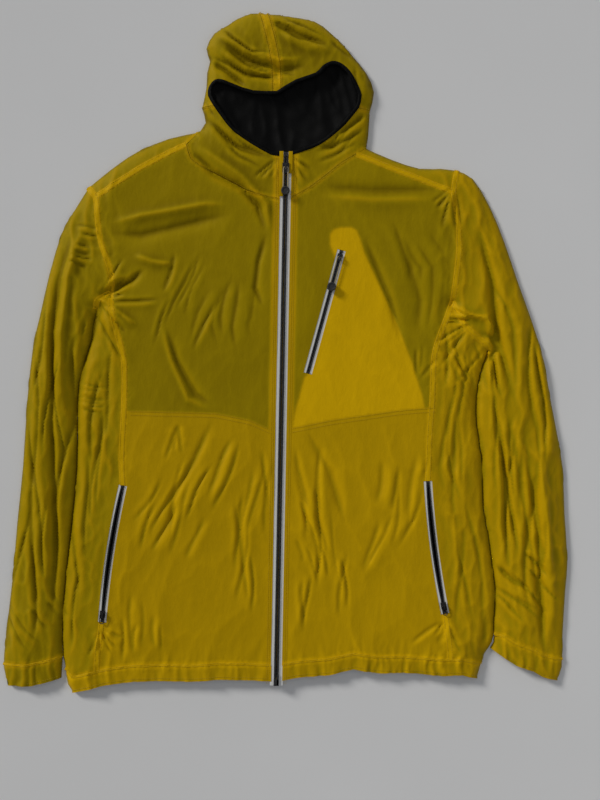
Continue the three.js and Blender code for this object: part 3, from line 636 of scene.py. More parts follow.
def creased(line: Line, depth: float, width: float, chance: np.random.Generator) -> list[Fold]:
    """Args: line: where the crease runs. depth, width: its size. chance: makes it uneven.
    Returns: a crease of that depth, with a lower ridge on one side of it.
    """
    depth *= chance.uniform(0.35, 0.95)
    side = chance.choice((-1.0, 1.0))
    ridge = line + normals_of(line) * side * width * 1.7
    return [Fold(-depth, width * chance.uniform(0.5, 0.95), line, 1.8), Fold(depth * 0.5, width, ridge, 0.6)]


@dataclass(frozen=True)
class Fan:
    """Creases that spread out from a place where the cloth is drawn together. Millimetres and degrees."""

    at: tuple[float, float]
    toward: float  # 0 is towards the wearer's left, 90 towards the hood
    spread: float
    count: int
    length: float
    depth: float = 5.0
    width: float = 3.5

    def folds(self, chance: np.random.Generator) -> list[Fold]:
        """Args: chance: makes them uneven. Returns: the creases."""
        made = []
        for share in np.linspace(-0.5, 0.5, self.count):
            angle = math.radians(self.toward + self.spread * share + chance.uniform(-6, 6))
            run = np.linspace(0.08, 1, 6)[:, None] * self.length * chance.uniform(0.5, 1.1)
            bend = chance.uniform(-0.2, 0.2) * run * run / self.length
            ahead = np.array([math.cos(angle), math.sin(angle)])
            aside = np.array([-math.sin(angle), math.cos(angle)])
            made += creased(np.array(self.at) + run * ahead + bend * aside, self.depth, self.width, chance)
        return made


GOLDEN = 0.618  # steps of this share of a width, wrapped round, spread evenly over it


@dataclass(frozen=True)
class Bundle:
    """Creases that lie side by side along a line of the cloth, each shorter than it. Millimetres."""

    line: Sequence[Sequence[float]]
    breadth: float  # they are spread this far across the line
    count: int
    share: float  # about how much of the line's length each takes
    depth: float = 4.0
    width: float = 4.5

    def folds(self, chance: np.random.Generator) -> list[Fold]:
        """Args: chance: makes them uneven. Returns: the creases."""
        way = np.array(self.line, float)
        runs = np.concatenate([[0], np.cumsum(np.linalg.norm(np.diff(way, axis=0), axis=1))])
        made = []
        for i in range(self.count):
            length = runs[-1] * min(1.0, self.share * chance.uniform(0.6, 1.4))
            at = chance.uniform(0, runs[-1] - length) + np.linspace(0, length, 7)
            line = np.column_stack([np.interp(at, runs, way[:, 0]), np.interp(at, runs, way[:, 1])])
            place = self.breadth * (((i + 0.5) * GOLDEN) % 1 - 0.5)
            turn = chance.uniform(0, 2 * math.pi)
            wave = 0.035 * length * np.sin(np.linspace(turn, turn + 4.5, 7))
            slant = length * 0.06 * chance.uniform(-1, 1) * np.linspace(-1, 1, 7)
            aside = normals_of(line) * (place + (wave + slant))[:, None]
            made += creased(line + aside, self.depth, self.width, chance)
        return made


MAIN_FOLDS = (
    # the collar is pulled across towards the top of the zip
    Fold(-8, 5, ((-135, 285), (-100, 250), (-60, 230), (-38, 205), (-28, 165))),
    Fold(5.5, 7, ((-128, 292), (-60, 243), (-26, 205), (-18, 150))),
    Fold(-4, 4, ((-26, 170), (-38, 125), (-42, 90), (-30, 58))),
    Fold(-6, 4, ((-112, 328), (-70, 290), (-30, 270))),
    Fold(-6, 4, ((72, 302), (95, 320), (114, 334))),
    # the right shoulder and armpit
    Fold(5, 7, ((-250, 178), (-200, 190), (-110, 206), (-72, 206))),
    Fold(-5, 9, ((-250, 166), (-200, 164), (-100, 188), (-70, 194))),
    Fold(4.5, 5, ((-212, 136), (-185, 126), (-150, 121))),
    Fold(-7, 4, ((-263, 76), (-245, 86), (-215, 100), (-195, 118))),
    Fold(5, 4, ((-247, 66), (-225, 50), (-204, 36))),
    Fold(-8, 4, ((-256, 74), (-264, 40), (-271, 12))),
    Fold(4, 5, ((-174, 44), (-158, -10), (-135, -65), (-100, -82))),
    Fold(-4, 5, ((-166, 35), (-150, -15), (-125, -58), (-100, -74))),
    # the left shoulder, chest and armpit
    Fold(-5, 12, ((40, 232), (120, 226), (232, 228))),
    Fold(3.5, 9, ((45, 218), (120, 212), (215, 213))),
    Fold(-3.5, 9, ((166, 149), (187, 72), (182, 20))),
    Fold(-4, 5, ((107, 166), (146, 72), (163, 5))),
    Fold(6, 5, ((229, 69), (255, 52), (280, 48), (295, 18))),
    Fold(-8, 4, ((270, 30), (288, 20), (296, 6), (272, -28))),
    # the front below the pockets' top edge
    Fold(-5, 6, ((236, -62), (236, -136), (232, -206), (240, -262))),
    Fold(-4, 7, ((24, -101), (62, -167), (86, -247))),
    Fold(-4, 5, ((-98, -87), (-125, -147), (-157, -205), (-160, -270))),
    # the sleeves' long folds
    Fold(-9, 5, ((-290, 185), (-315, 104), (-325, 24), (-325, -108), (-320, -275), (-327, -415))),
    Fold(6, 7, ((-280, 190), (-302, 104), (-311, 20), (-312, -100))),
    Fold(-9, 6, ((264, 198), (288, 100), (295, 24), (323, -82))),
    Fold(-9, 6, ((332, -105), (352, -247), (356, -331), (361, -445))),
    Fold(6, 7, ((345, -95), (364, -240), (370, -340))),
    Fold(-8, 4, ((300, -100), (302, -143), (326, -290))),
    Fold(-7, 4, ((290, -293), (316, -317), (342, -332))),
    # the hood
    Fold(-9, 6, ((-95, 438), (-54, 406), (-10, 393), (34, 398))),
    Fold(6, 7, ((-98, 448), (-54, 418), (-8, 404), (30, 408))),
    Fold(-8, 5, ((-108, 408), (-82, 392), (-52, 367))),
    Fold(-7, 5, ((-18, 457), (20, 440), (62, 427))),
    Fold(6, 7, ((-12, 447), (24, 429), (66, 416))),
)
GATHERED = (
    # the armpits and the left shoulder
    Fan((-266, 76), 5, 95, 7, 85),
    Fan((-268, 68), -95, 40, 4, 90),
    Fan((262, 44), 195, 80, 6, 75, 4.5),
    Fan((286, 18), -100, 45, 4, 80),
    Fan((236, 232), 250, 70, 5, 80, 4.5),
    # the top of the main zip
    Fan((4, 276), -52, 42, 5, 62, 4.0, 3.0),
    Fan((-4, 276), -128, 40, 4, 58, 4.0, 3.0),
    # the pockets' top edge
    Fan((-150, -95), -90, 30, 4, 60, 3.0),
    Fan((182, -42), 75, 40, 3, 60, 3.0),
    # the ends of the hand zips
    Fan((-258, -382), -70, 70, 5, 60, 3.5, 3.0),
    Fan((224, -370), -110, 70, 5, 60, 3.5, 3.0),
    # the fronts
    Bundle(((-104, 172), (-140, 60), (-165, -20)), 75, 7, 0.45, 3.0, 3.6),
    Bundle(((-60, 120), (-80, 40), (-60, -50)), 60, 4, 0.5, 2.2, 5.0),
    Bundle(((-95, -100), (-150, -230), (-185, -300)), 95, 10, 0.45, 3.2, 4.5),
    Bundle(((-34, -115), (-52, -300), (-60, -430)), 44, 9, 0.35, 3.2, 4.0),
    Bundle(((-200, -330), (-205, -440)), 70, 6, 0.6, 3.2, 4.0),
    Bundle(((172, -108), (155, -220), (125, -320)), 60, 7, 0.5, 2.8, 5.5),
    Bundle(((28, -110), (52, -260), (60, -430)), 66, 12, 0.3, 3.2, 4.0),
    Bundle(((0, -190), (48, -330)), 46, 5, 0.4, 3.0, 3.0),
    Bundle(((140, 230), (200, 120), (190, 0)), 60, 4, 0.5, 2.2, 6.0),
    # the side panels
    Bundle(((-248, 55), (-262, -100), (-282, -420)), 42, 8, 0.32, 4.2, 3.8),
    Bundle(((-292, -62), (-246, -68)), 46, 6, 0.8, 3.2, 2.6),
    Bundle(((246, 40), (240, -150), (262, -420)), 44, 9, 0.32, 4.6, 4.0),
    Bundle(((236, 20), (268, -60)), 46, 6, 0.7, 3.6, 2.8),
    # the sleeves
    Bundle(((-288, 190), (-320, 50), (-332, -200), (-352, -430)), 66, 12, 0.3, 5.6, 4.5),
    Bundle(((-300, 150), (-262, 142)), 70, 6, 0.8, 3.2, 3.2),
    Bundle(((268, 205), (318, 50), (334, -200), (346, -410)), 78, 15, 0.32, 6.0, 4.8),
    Bundle(((300, -300), (370, -370)), 90, 6, 0.7, 4.2, 3.4),
    Bundle(((-382, -330), (-322, -400)), 90, 5, 0.7, 3.6, 3.4),
    # the hood and collar
    Bundle(((-104, 440), (-50, 402), (36, 394)), 40, 9, 0.55, 4.6, 4.0),
    Bundle(((-26, 462), (62, 428)), 30, 6, 0.6, 4.4, 4.0),
    Bundle(((62, 446), (104, 404), (114, 345)), 26, 5, 0.6, 4.0, 3.6),
    Bundle(((-116, 430), (-116, 345), (-100, 318)), 18, 4, 0.5, 4.0, 3.4),
    Bundle(((-108, 322), (-60, 280), (-14, 258)), 26, 5, 0.6, 3.6, 3.6),
    Bundle(((14, 262), (68, 282), (112, 322)), 26, 5, 0.6, 3.6, 3.6),
)
# Each piece's tone: low for one layer over dark lining, high for doubled cloth; the wearer's right sleeve,
# cuff and side are set darker than the left as painted shade.
LAYER_AND_SHADE_TONES = (
    ("right_sleeve", 0.27), ("left_sleeve", 0.46), ("right_cuff", 0.30), ("left_cuff", 0.50),
    ("right_hood", 0.18), ("left_hood", 0.17), ("hood_centre", 0.42),
    ("right_collar", 0.20), ("left_collar", 0.24), ("right_side", 0.34), ("left_side", 0.50),
    ("right_shoulder", 0.26), ("left_shoulder", 0.30), ("hem_casing", 0.58),
    ("right_front", 0.22), ("left_front", 0.24),
)
PLAIN_TONE = 0.34  # of a piece that isn't listed
UNDER_POCKETS = (0.58, 0.64)  # the fronts' tones where a pocket bag lies under them, right and left: doubled cloth, set lower than the chest patch as painted shade
PATCH_TONE = 0.92  # where the chest pocket's bag lies under the cloth
FACING_TONE = 0.62  # of the doubled cloth beside the main zip
FACING_WIDTH = 19.0  # to each side of the main zip's middle, in millimetres
CHEST_PATCH = (
    (62, 150), (62, 164), (67, 171), (76, 174), (92, 174), (99, 170), (104, 158), (110, 138), (154, 44),
    (176, -14), (190, -60), (198, -100), (8, -112), (14, -80), (26, -36), (38, -20), (74, 118),
)
POCKET_LINE = ((-216, -81), (-98, -84), (-49, -94), (-19, -108), (9, -105), (62, -94), (159, -80), (208, -76))


class Drape:
    """The height of the jacket's top cloth at any point, and its tone: low where one layer lies over lining,
    high where it lies double, with painted shade on some pieces.
    """

    fold_reach = 3.2  # how many of its widths away a fold is still felt
    ridge_power = 1.45  # 1 gives a fold a sharp top, 2 a round one
    least_rise = 0.25  # share of the plain arch below which no crease reaches
    top_level = 13.6 * MM  # of the cloth, well away from its folded edges
    edge_level = 1.3 * MM  # of the cloth at its folded edges
    arch_width = 34 * MM  # in which it rises from the one to the other
    hood_rise = 5.0 * MM
    sleeves_from = 262  # millimetres out from the middle, where the sleeves' close creases start
    sides_from = 214
    hood_from = 270  # millimetres up
    crown_from = 330
    pockets_below = -90
    gather_reach = 58 * MM  # how far the elastics' gathers run up from a mouth

    def __init__(self, shift: tuple[float, float]) -> None:
        """Args: shift: where the folds' own origin lies in the frame, in metres."""
        self.shift = np.array(shift)
        chance = np.random.default_rng(29)
        self.folds = [*MAIN_FOLDS, *(fold for group in GATHERED for fold in group.folds(chance))]
        self.grains = [Grain(seed) for seed in range(11, 19)]
        scatter = np.random.default_rng(5)
        grid = np.stack(np.meshgrid(np.arange(-46, 47), np.arange(-46, 47)), axis=-1).reshape(-1, 2)
        self.seeds = [grid + scatter.uniform(-0.46, 0.46, grid.shape) for _ in range(3)]
        self.folded = np.zeros((0, 2))
        self.zips = np.zeros((0, 2))
        self.mouths = np.zeros((0, 2))
        self.seams = np.zeros((0, 2))
        self.main_line = np.zeros((0, 2))

    def fold_height(self, p: np.ndarray) -> np.ndarray:
        """Args: p: places (n, 2). Returns: what the placed folds add there."""
        q = (p - self.shift) / MM
        total = np.zeros(len(p))
        for fold in self.folds:
            line = np.array(fold.line, float)
            reach = self.fold_reach * fold.width
            near = np.all((q > line.min(0) - reach) & (q < line.max(0) + reach), axis=1)
            if not near.any():
                continue
            r = q[near]
            spans = np.linalg.norm(np.diff(line, axis=0), axis=1)
            length = spans.sum()
            best = np.full(len(r), 1e9)
            signed, along = np.zeros(len(r)), np.zeros(len(r))
            run = 0.0
            for a, b, span in zip(line[:-1], line[1:], spans):
                d = (b - a) / span
                t = np.clip((r - a) @ d, 0, span)
                off = r - a - t[:, None] * d
                gap = np.linalg.norm(off, axis=1)
                side = np.sign(d[0] * off[:, 1] - d[1] * off[:, 0])
                closer = gap < best
                best = np.where(closer, gap, best)
                signed = np.where(closer, side * gap, signed)
                along = np.where(closer, (run + t) / length, along)
                run += span
            width = np.where(signed > 0, fold.width / fold.steep, fold.width)
            ends = np.clip(np.minimum(along, 1 - along) / fold.taper, 0, 1)
            fade = ends * ends * (3 - 2 * ends)
            total[near] += fold.height * fade * np.exp(-(np.abs(signed / width) ** self.ridge_power))
        return total * MM

    def facets(self, u: np.ndarray, v: np.ndarray, which: int) -> np.ndarray:
        """Args: u, v: places, in facets. which: which pattern.
        Returns: hollows with crisp ridges between them, about 0.
        """
        return nearest_distance(np.column_stack([u, v]), self.seeds[which]) ** 2 - 0.18

    def crumple(self, p: np.ndarray) -> np.ndarray:
        """Args: p: places (n, 2). Returns: the small creases between the placed folds."""
        q = (p - self.shift) / MM
        x, y = q[:, 0], q[:, 1]
        g = self.grains
        bend = g[0](x / 95, y / 95) * 30
        ripple = g[3](x / 30, y / 34) * 9
        sleeve = np.clip((np.abs(x + 8) - self.sleeves_from) / 22, 0, 1)
        side = np.clip((np.abs(x + 12) - self.sides_from) / 16, 0, 1)
        hood = np.clip((y - self.hood_from) / 40, 0, 1)
        busy = np.clip(np.maximum(np.maximum(side, sleeve), hood * 0.8), 0, 1)
        lower = np.clip((self.pockets_below - y) / 40, 0, 1)
        swell = g[1]((x + bend) / 70, y / 110) * (2.2 + 2.0 * busy)
        long_u, long_v = (x + bend * 0.6 + ripple + y * 0.08) / 21, (y + ripple * 2 + bend) / 88
        long_facets = self.facets(long_u, long_v, 0) * 5.0 * busy * (1 - hood)
        small_u, small_v = (x + ripple) / 11.5, (y * 0.55 - ripple * 0.5 + bend) / 15
        small = self.facets(small_u, small_v, 1) * (1.6 * busy + 0.35)
        slant = np.where(x > -10, 0.35, -0.35)
        soft_u, soft_v = (x + bend + y * slant) / 30, (y - x * slant + ripple) / 70
        soft_facets = self.facets(soft_u, soft_v, 2) * 1.8 * (1 - busy) * (0.55 + 0.6 * lower)
        return (swell + long_facets + small + soft_facets) * MM

    def gathers(self, p: np.ndarray) -> np.ndarray:
        """Args: p: places (n, 2). Returns: the short wrinkles that the elastic hem and cuffs pull up."""
        q = (p - self.shift) / MM
        x, y = q[:, 0], q[:, 1]
        reach = np.clip(1 - self.mouth_gap / self.gather_reach, 0, 1)
        wave = self.grains[5](x / 9.0 + self.grains[0](x / 30, y / 30) * 1.2, y / 60) * 2.0
        smaller = self.grains[6](x / 4.6, y / 36)
        strength = 0.55 + 0.6 * np.clip((x - 20) / 140, 0, 1) + 0.5 * np.clip((-x - 290) / 30, 0, 1)
        return (wave * 2.1 + smaller * 1.2) * reach ** 1.4 * strength * MM

    def __call__(self, p: np.ndarray) -> np.ndarray:
        """Args: p: places (n, 2). Returns: the height of the top cloth's upper side."""
        inward = nearest_distance(p, self.folded)
        zip_gap = nearest_distance(p, self.zips)
        self.mouth_gap = nearest_distance(p, self.mouths)
        share = np.clip(inward / self.arch_width, 0, 1)
        arch = np.sqrt(np.clip(1 - (1 - share) ** 2, 0, 1))
        q = (p - self.shift) / MM
        crown = self.hood_rise * np.clip((q[:, 1] - self.crown_from) / 90, 0, 1)
        base = self.edge_level + (self.top_level - self.edge_level + crown) * arch
        free = np.clip(inward / (13 * MM), 0, 1) ** 0.8
        steady = np.clip((zip_gap - 2.0 * MM) / (14 * MM), 0.0, 1)
        seam_gap = nearest_distance(p, self.seams) / MM
        near_seam = np.exp(-((seam_gap / 9) ** 2))
        pucker = (0.3 - np.abs(self.grains[6](q[:, 0] / 4.8, q[:, 1] / 4.8))) * 1.5 * near_seam * MM
        folds = (self.fold_height(p) + self.crumple(p) + pucker) * free * (0.12 + 0.88 * steady)
        gathered = self.gathers(p) * np.clip(inward / (6 * MM), 0, 1) * (0.25 + 0.75 * steady)
        top = base + (folds + gathered)
        lowest = self.edge_level + (self.top_level - self.edge_level) * self.least_rise * arch
        return np.maximum(top, lowest)

    def layers(self, name: str, p: np.ndarray) -> np.ndarray:
        """Args: name: the piece's. p: places.
        Returns: the cloth's tone: low over dark lining, high where it lies double, with painted shade on some
        pieces and under the pockets.
        """
        q = (p - self.shift) / MM
        tone = np.full(len(p), next((t for key, t in LAYER_AND_SHADE_TONES if name.startswith(key)), PLAIN_TONE))
        if "front_panel" in name:
            line = np.array(POCKET_LINE)
            under = np.clip((np.interp(q[:, 0], line[:, 0], line[:, 1]) - q[:, 1]) / 3.0 + 0.5, 0, 1)
            lower = np.where(q[:, 0] > 0, UNDER_POCKETS[1], UNDER_POCKETS[0])
            tone = tone + (lower - tone) * under
            if "left" in name:
                patch = [np.array(CHEST_PATCH) * MM + self.shift]
                tone = tone + (PATCH_TONE - tone) * soft_inside(p, patch, 2.0 * MM) * (1 - under)
        facing = np.clip((FACING_WIDTH - nearest_distance(p, self.main_line) / MM) / 2.5, 0, 1)
        return np.maximum(tone, tone * (1 - facing) + FACING_TONE * facing)


def soft_inside(p: np.ndarray, loops: list[Line], blend: float) -> np.ndarray:
    """Args: p: places. loops: outlines. blend: half the soft edge. Returns: 1 inside, 0 outside."""
    gap = nearest_distance(p, np.vstack([resampled(loop, 1.0 * MM) for loop in loops]))
    return np.clip(0.5 + np.where(inside(p, loops), gap, -gap) / (2 * blend), 0, 1)


# ---------------------------------------------------------------- sewing
LONGEST_NAME = 58
LEAST_SHEET = 0.0101  # a sheet's least stated width or length, in metres
SLIMMEST = 0.36  # least share of its width times length that a sheet's area is taken to be
TOUCHING = 2.2 * MM  # between neighbouring pieces' edges, at most
MOUTHS = ("hem_casing", "right_cuff", "left_cuff")
FLOOR_SIDE = ("back_panel", "hood_back", "right_sleeve_back", "left_sleeve_back")


def flat_size(loops: list[Line]) -> tuple[float, float, float]:
    """Args: loops: a piece's outlines.
    Returns: the width and length it was cut from, and its flat area, in metres.
    """
    area = abs(area_of(loops[0])) - sum(abs(area_of(loop)) for loop in loops[1:])
    middle = loops[0] - loops[0].mean(0)
    _, _, axes = np.linalg.svd(middle, full_matrices=False)
    spans = np.ptp(middle @ axes.T, axis=0)
    length = float(max(spans))
    width = float(min(max(min(spans), area / length), area / (SLIMMEST * length)))
    return max(width, LEAST_SHEET), max(length, LEAST_SHEET), float(area)


def declare_sheet(
    loops: list[Line],
) -> None:
    """Works out the width, length and area that a piece was cut from; it keeps none of them.
    """
    width, length, area = flat_size(loops)
    area = float(np.clip(area, 0.31 * width * length, width * length))


@dataclass
class Cloth:
    """Everything cut from cloth: where its outlines are and how it is draped."""

    finishes: Wardrobe
    shift: tuple[float, float]
    step: float = 2.6 * MM
    thickness: float = 0.45 * MM
    floor_gap: float = 0.2 * MM
    seam_width: float = 8.0 * MM
    stitch_pitch: float = 3.0 * MM
    stitch_half: float = 1.05 * MM  # half a stitch's length
    thread_half: float = 0.17 * MM
    hem_row: float = 4.0 * MM  # from a mouth to its row of stitches
    front: tuple[str, ...] = tuple(
        f"{side}_{piece}" for side in SIDES
        for piece in ("front_panel", "side_panel", "shoulder_yoke", "sleeve_front", "collar", "hood_panel")
    ) + ("hood_centre_strip",)
    loops: dict[str, list[Line]] = field(default_factory=dict)
    pieces: dict[str, bpy.types.Object] = field(default_factory=dict)

    def __post_init__(self) -> None:
        """Reads the outlines from the frame and finds the folded edges, the mouths and the seams."""
        self.drape = Drape(self.shift)
        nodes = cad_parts
        for name in (*self.front, "face_opening_binding", "right_hand_pocket_bag", "left_hand_pocket_bag",
                     "chest_pocket_bag", "storm_flap", "back_lining", "hood_lining", "hang_loop"):
            self.loops[name] = outline_loops(nodes[name])
        for name in FLOOR_SIDE:
            self.loops[name] = outline_loops(nodes[name], -1)
        for name in MOUTHS:
            self.loops[name] = outline_loops(nodes[name], -1, floor=True)[:1]
        for name in ("main_zip_right_tape", "main_zip_left_tape", "chest_zip_tape", "right_hand_zip_tape",
                     "left_hand_zip_tape"):
            self.loops[name] = outline_loops(nodes[name])
        self.window = self.zip_window()
        self.find_edges()

    def zip_window(self) -> Line:
        """Returns: the opening for the main zip, carried on past the hem."""
        corners = np.vstack([self.loops["main_zip_right_tape"][0], self.loops["main_zip_left_tape"][0]])
        low = corners[corners[:, 1] < corners[:, 1].min() + 5 * MM]
        high = corners[corners[:, 1] > corners[:, 1].max() - 5 * MM]
        a, b = low[low[:, 0].argmin()], low[low[:, 0].argmax()]
        c, d = high[high[:, 0].argmax()], high[high[:, 0].argmin()]
        out = 0.3 * MM
        return np.array([a + (-out, -0.04), b + (out, -0.04), c + (out, 0.03), d + (-out, 0.03)])

    def find_edges(self) -> None:
        """Sorts the front's edges into folded edges, mouths, zips and seams."""
        names = [*self.front, *MOUTHS]
        fine = {n: np.vstack([resampled(loop, 2.5 * MM) for loop in self.loops[n]]) for n in names}
        tapes = [loops for name, loops in self.loops.items() if name.endswith("_tape")]
        zips = [np.vstack([resampled(loop, 2.0 * MM) for loop in loops]) for loops in tapes]
        binding = resampled(self.loops["face_opening_binding"][0], 2.0 * MM)
        folded, mouths, seams = [], [], []
        for name in names:
            others = np.vstack([fine[n] for n in names if n != name])
            to_other = nearest_distance(fine[name], others)
            to_zip = nearest_distance(fine[name], np.vstack(zips))
            to_rim = nearest_distance(fine[name], binding)
            run = np.roll(fine[name], -1, axis=0) - np.roll(fine[name], 1, axis=0)
            free = (to_other > TOUCHING) & (to_zip > 2.5 * MM) & (to_rim > 2.0 * MM)
            level = np.abs(run[:, 1]) < np.abs(run[:, 0])
            mouth = free & level & (name in MOUTHS)
            folded.append(fine[name][free & ~mouth])
            mouths.append(fine[name][mouth])
            seams.append(fine[name][to_other <= TOUCHING])
        side = fine["right_side_panel"], fine["left_side_panel"]
        sleeve = fine["right_sleeve_front"], fine["left_sleeve_front"]
        for body, arm in zip(side, sleeve):
            between = nearest_distance(body, arm)
            folded.append(body[(between < 4.5 * MM) & (between > 1.2 * MM)])
        self.drape.folded, self.drape.mouths = np.vstack(folded), np.vstack(mouths)
        self.drape.zips, self.drape.seams = np.vstack(zips), np.vstack(seams)
        strips = [line_of_strip(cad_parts[f"main_zip_{side}_tape"]) for side in SIDES]
        self.drape.main_line = resampled((strips[0] + strips[1]) / 2, 4 * MM, closed=False)

    def finish_piece(
        self, piece: bpy.types.Object, replaced: Sequence[str], slot: str, body: str = "jacket",
    ) -> None:
        """Args: piece: the new piece. replaced: the CAD nodes it stands for. slot: not used.
            body: what it rides on.
        """
        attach(piece, body)
        if replaced:
            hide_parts(*replaced)
        self.pieces[piece.name] = piece
        log.info("%s: %d points", piece.name, len(piece.data.vertices))

    def cut_sheet(self, name: str, loops: list[Line], height: Callable[[np.ndarray], np.ndarray], step: float,
                  material: bpy.types.Material, holes: Sequence[Line] = (), thickness: float | None = None,
                  united: bool = False) -> bpy.types.Object:
        """Cuts a sheet and lays it.

        Args:
            name: the piece's. loops: its outlines. height: its upper side's height at each place.
            step: its triangles. material: its finish. holes: openings cut from it. thickness: of the cloth.
            united: whether its outlines overlap and all count.
        Returns:
            The closed sheet, with its tone and its painted crease shade stored on its points.
        """
        flat, faces = cut_cloth([*loops, *holes], step, united)
        if holes and not united:
            middles = flat[faces].mean(axis=1)
            faces = faces[inside(middles, loops) & ~inside(middles, list(holes))]
            used, index = np.unique(faces, return_inverse=True)
            flat, faces = flat[used], index.reshape(-1, 3)
        top = np.column_stack([self.drawn_together(name, flat), height(flat)])
        points, all_faces = thick_sheet(top, faces, thickness or self.thickness)
        piece = new_piece(name, points, all_faces, material)
        tone = self.drape.layers(name, flat)
        seam = nearest_distance(flat, self.drape.seams) / self.seam_width
        tone = tone + 0.22 * np.clip((0.75 - seam) * 3, 0, 1)
        store(piece, "layers", np.tile(np.clip(tone, 0, 1), 2))
        # painted shade in creases and painted highlight on ridges, from the cloth's own heights
        store(piece, "relief", np.tile(crease_shade_of(top[:, 2], faces), 2))
        return piece

    def drawn_together(self, name: str, flat: np.ndarray) -> np.ndarray:
        """Lets a sleeve and the body lean on each other.

        Args:
            name: the piece's. flat: its points.
        Returns:
            them, moved a little.
        """
        word = next((w for w in SIDES if name.startswith(w)), "")
        partner = {"sleeve_front": "side_panel", "side_panel": "sleeve_front"}
        other = next((o for key, o in partner.items() if word and name.startswith(f"{word}_{key}")), "")
        if not other:
            return flat
        own = resampled(self.loops[name.replace("_cloth", "")][0], 1.5 * MM)
        theirs = resampled(self.loops[f"{word}_{other}"][0], 1.5 * MM)
        to_own, to_theirs = kdtree.KDTree(len(own)), kdtree.KDTree(len(theirs))
        for tree, line in ((to_own, own), (to_theirs, theirs)):
            for i, (x, y) in enumerate(line):
                tree.insert((x, y, 0), i)
            tree.balance()
        moved = flat.copy()
        for i, (x, y) in enumerate(flat):
            _, nearest, gap = to_own.find((x, y, 0))
            if gap < 9 * MM:
                edge = own[nearest]
                _, across, between = to_theirs.find((*edge, 0))
                share = (1 - gap / (9 * MM)) * min(1.0, max(0.0, (8 * MM - between) / (3 * MM)))
                moved[i] += (theirs[across] - edge) * 0.56 * share * (between > 1.0 * MM)
        return moved

    def sew_front(self) -> None:
        """Cuts and drapes every piece of the jacket's upper side."""
        for name in self.front:
            loops = self.loops[name]
            piece = self.cut_sheet(f"{name}_cloth", loops, self.drape, self.step, self.finishes.shell)
            self.finish_piece(piece, [name], "shell_fabric")
            declare_sheet(loops)
        for name in MOUTHS:
            loops = self.loops[name]
            holes = [self.window] if name == "hem_casing" else []
            upper = self.cut_sheet(f"{name}_upper", loops, self.drape, self.step, self.finishes.shell, holes)
            self.finish_piece(upper, [name], "shell_fabric")
            declare_sheet(loops)
            lower = self.cut_sheet(f"{name}_lower", loops, self.lying, 6 * MM, self.finishes.shell)
            self.finish_piece(lower, [], "shell_fabric")
            declare_sheet(loops)

    def lying(self, p: np.ndarray) -> np.ndarray:
        """Args: p: places. Returns: the upper side of cloth that lies on the floor there."""
        return np.full(len(p), self.floor_gap + self.thickness)

    def raised(self, lift: float) -> Callable[[np.ndarray], np.ndarray]:
        """Args: lift: a height. Returns: the height of cloth that lies this much over the back."""
        return lambda p: self.lying(p) + lift

    def hung_below(self, drop: float) -> Callable[[np.ndarray], np.ndarray]:
        """Args: drop: a depth. Returns: the height of cloth that hangs this much under the front."""
        return lambda p: self.drape(p) - drop

    def sew_back(self) -> None:
        """Cuts the pieces that lie on the floor."""
        for name in FLOOR_SIDE:
            piece = self.cut_sheet(f"{name}_cloth", self.loops[name], self.lying, 9 * MM, self.finishes.shell)
            self.finish_piece(piece, [name], "shell_fabric")
            declare_sheet(self.loops[name])

    def lining_height(self, p: np.ndarray) -> np.ndarray:
        """Args: p: places. Returns: the lining's upper side: creased, and rising towards the hood's rim."""
        top = self.drape(p) - 2.6 * MM
        rim = resampled(self.loops["face_opening_binding"][0], 2.0 * MM)
        near = np.clip(1 - nearest_distance(p, rim) / (34 * MM), 0, 1)
        q = (p - np.array(self.shift)) / MM
        g = self.drape.grains
        ridges = 0.3 - np.abs(g[7](q[:, 0] / 24 + q[:, 1] / 90, q[:, 1] / 60))
        folds = ridges * 8.0 + g[3](q[:, 0] / 15, q[:, 1] / 20) * 2.0
        rise = 3.4 * MM + near * near * 5.0 * MM + np.maximum(folds, -1.0) * MM
        return np.clip(np.minimum(rise, top), 1.2 * MM, None)

    def under_zip(self, p: np.ndarray) -> np.ndarray:
        """Args: p: places.
        Returns: how high the elastics lie, low enough under the main zip for its slider to pass.
        """
        gap = nearest_distance(p, self.drape.main_line) / (14 * MM)
        return self.drape(p) - 1.5 * MM - 4.5 * MM * np.exp(-gap * gap)

    def sew_inside(self) -> None:
        """Cuts the linings, the pocket bags, the storm flap, the elastics and the hang loop."""
        f = self.finishes
        neck = np.array([(-72, 258), (74, 258), (84, 322), (-84, 322)]) * MM + self.shift
        face = [self.loops["hood_lining"][0], neck]
        hood = self.cut_sheet("hood_lining_cloth", face, self.lining_height, self.step, f.lining, united=True)
        self.finish_piece(hood, ["hood_lining"], "lining")
        declare_sheet(self.loops["hood_lining"])
        loops = self.loops["back_lining"]
        laid = self.raised(1.2 * MM)
        back = self.cut_sheet("back_lining_cloth", loops, laid, 9 * MM, f.lining)
        self.finish_piece(back, ["back_lining"], "lining")
        declare_sheet(loops)
        bags = [(f"{place}_pocket_bag", 1.3) for place in ("right_hand", "left_hand", "chest")]
        for name, below in (*bags, ("storm_flap", 3.0)):
            loops = self.loops[name]
            hung = self.hung_below(below * MM)
            piece = self.cut_sheet(f"{name}_cloth", loops, hung, 6 * MM, f.shell)
            self.finish_piece(piece, [name], "shell_fabric")
            declare_sheet(loops)
        loop = self.cut_sheet(
            "hang_loop_tape", self.loops["hang_loop"], self.raised(2.6 * MM), 3 * MM, f.lining, thickness=MM,
        )
        self.finish_piece(loop, ["hang_loop"], "lining")
        declare_sheet(self.loops["hang_loop"])
        for name in ("hem_elastic", "right_cuff_elastic", "left_cuff_elastic"):
            loops = outline_loops(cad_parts[name], -1)[:1]
            band = self.cut_sheet(f"{name}_band", loops, self.under_zip, 4 * MM, f.elastic)
            self.finish_piece(band, [name], "elastic")
            declare_sheet(loops)

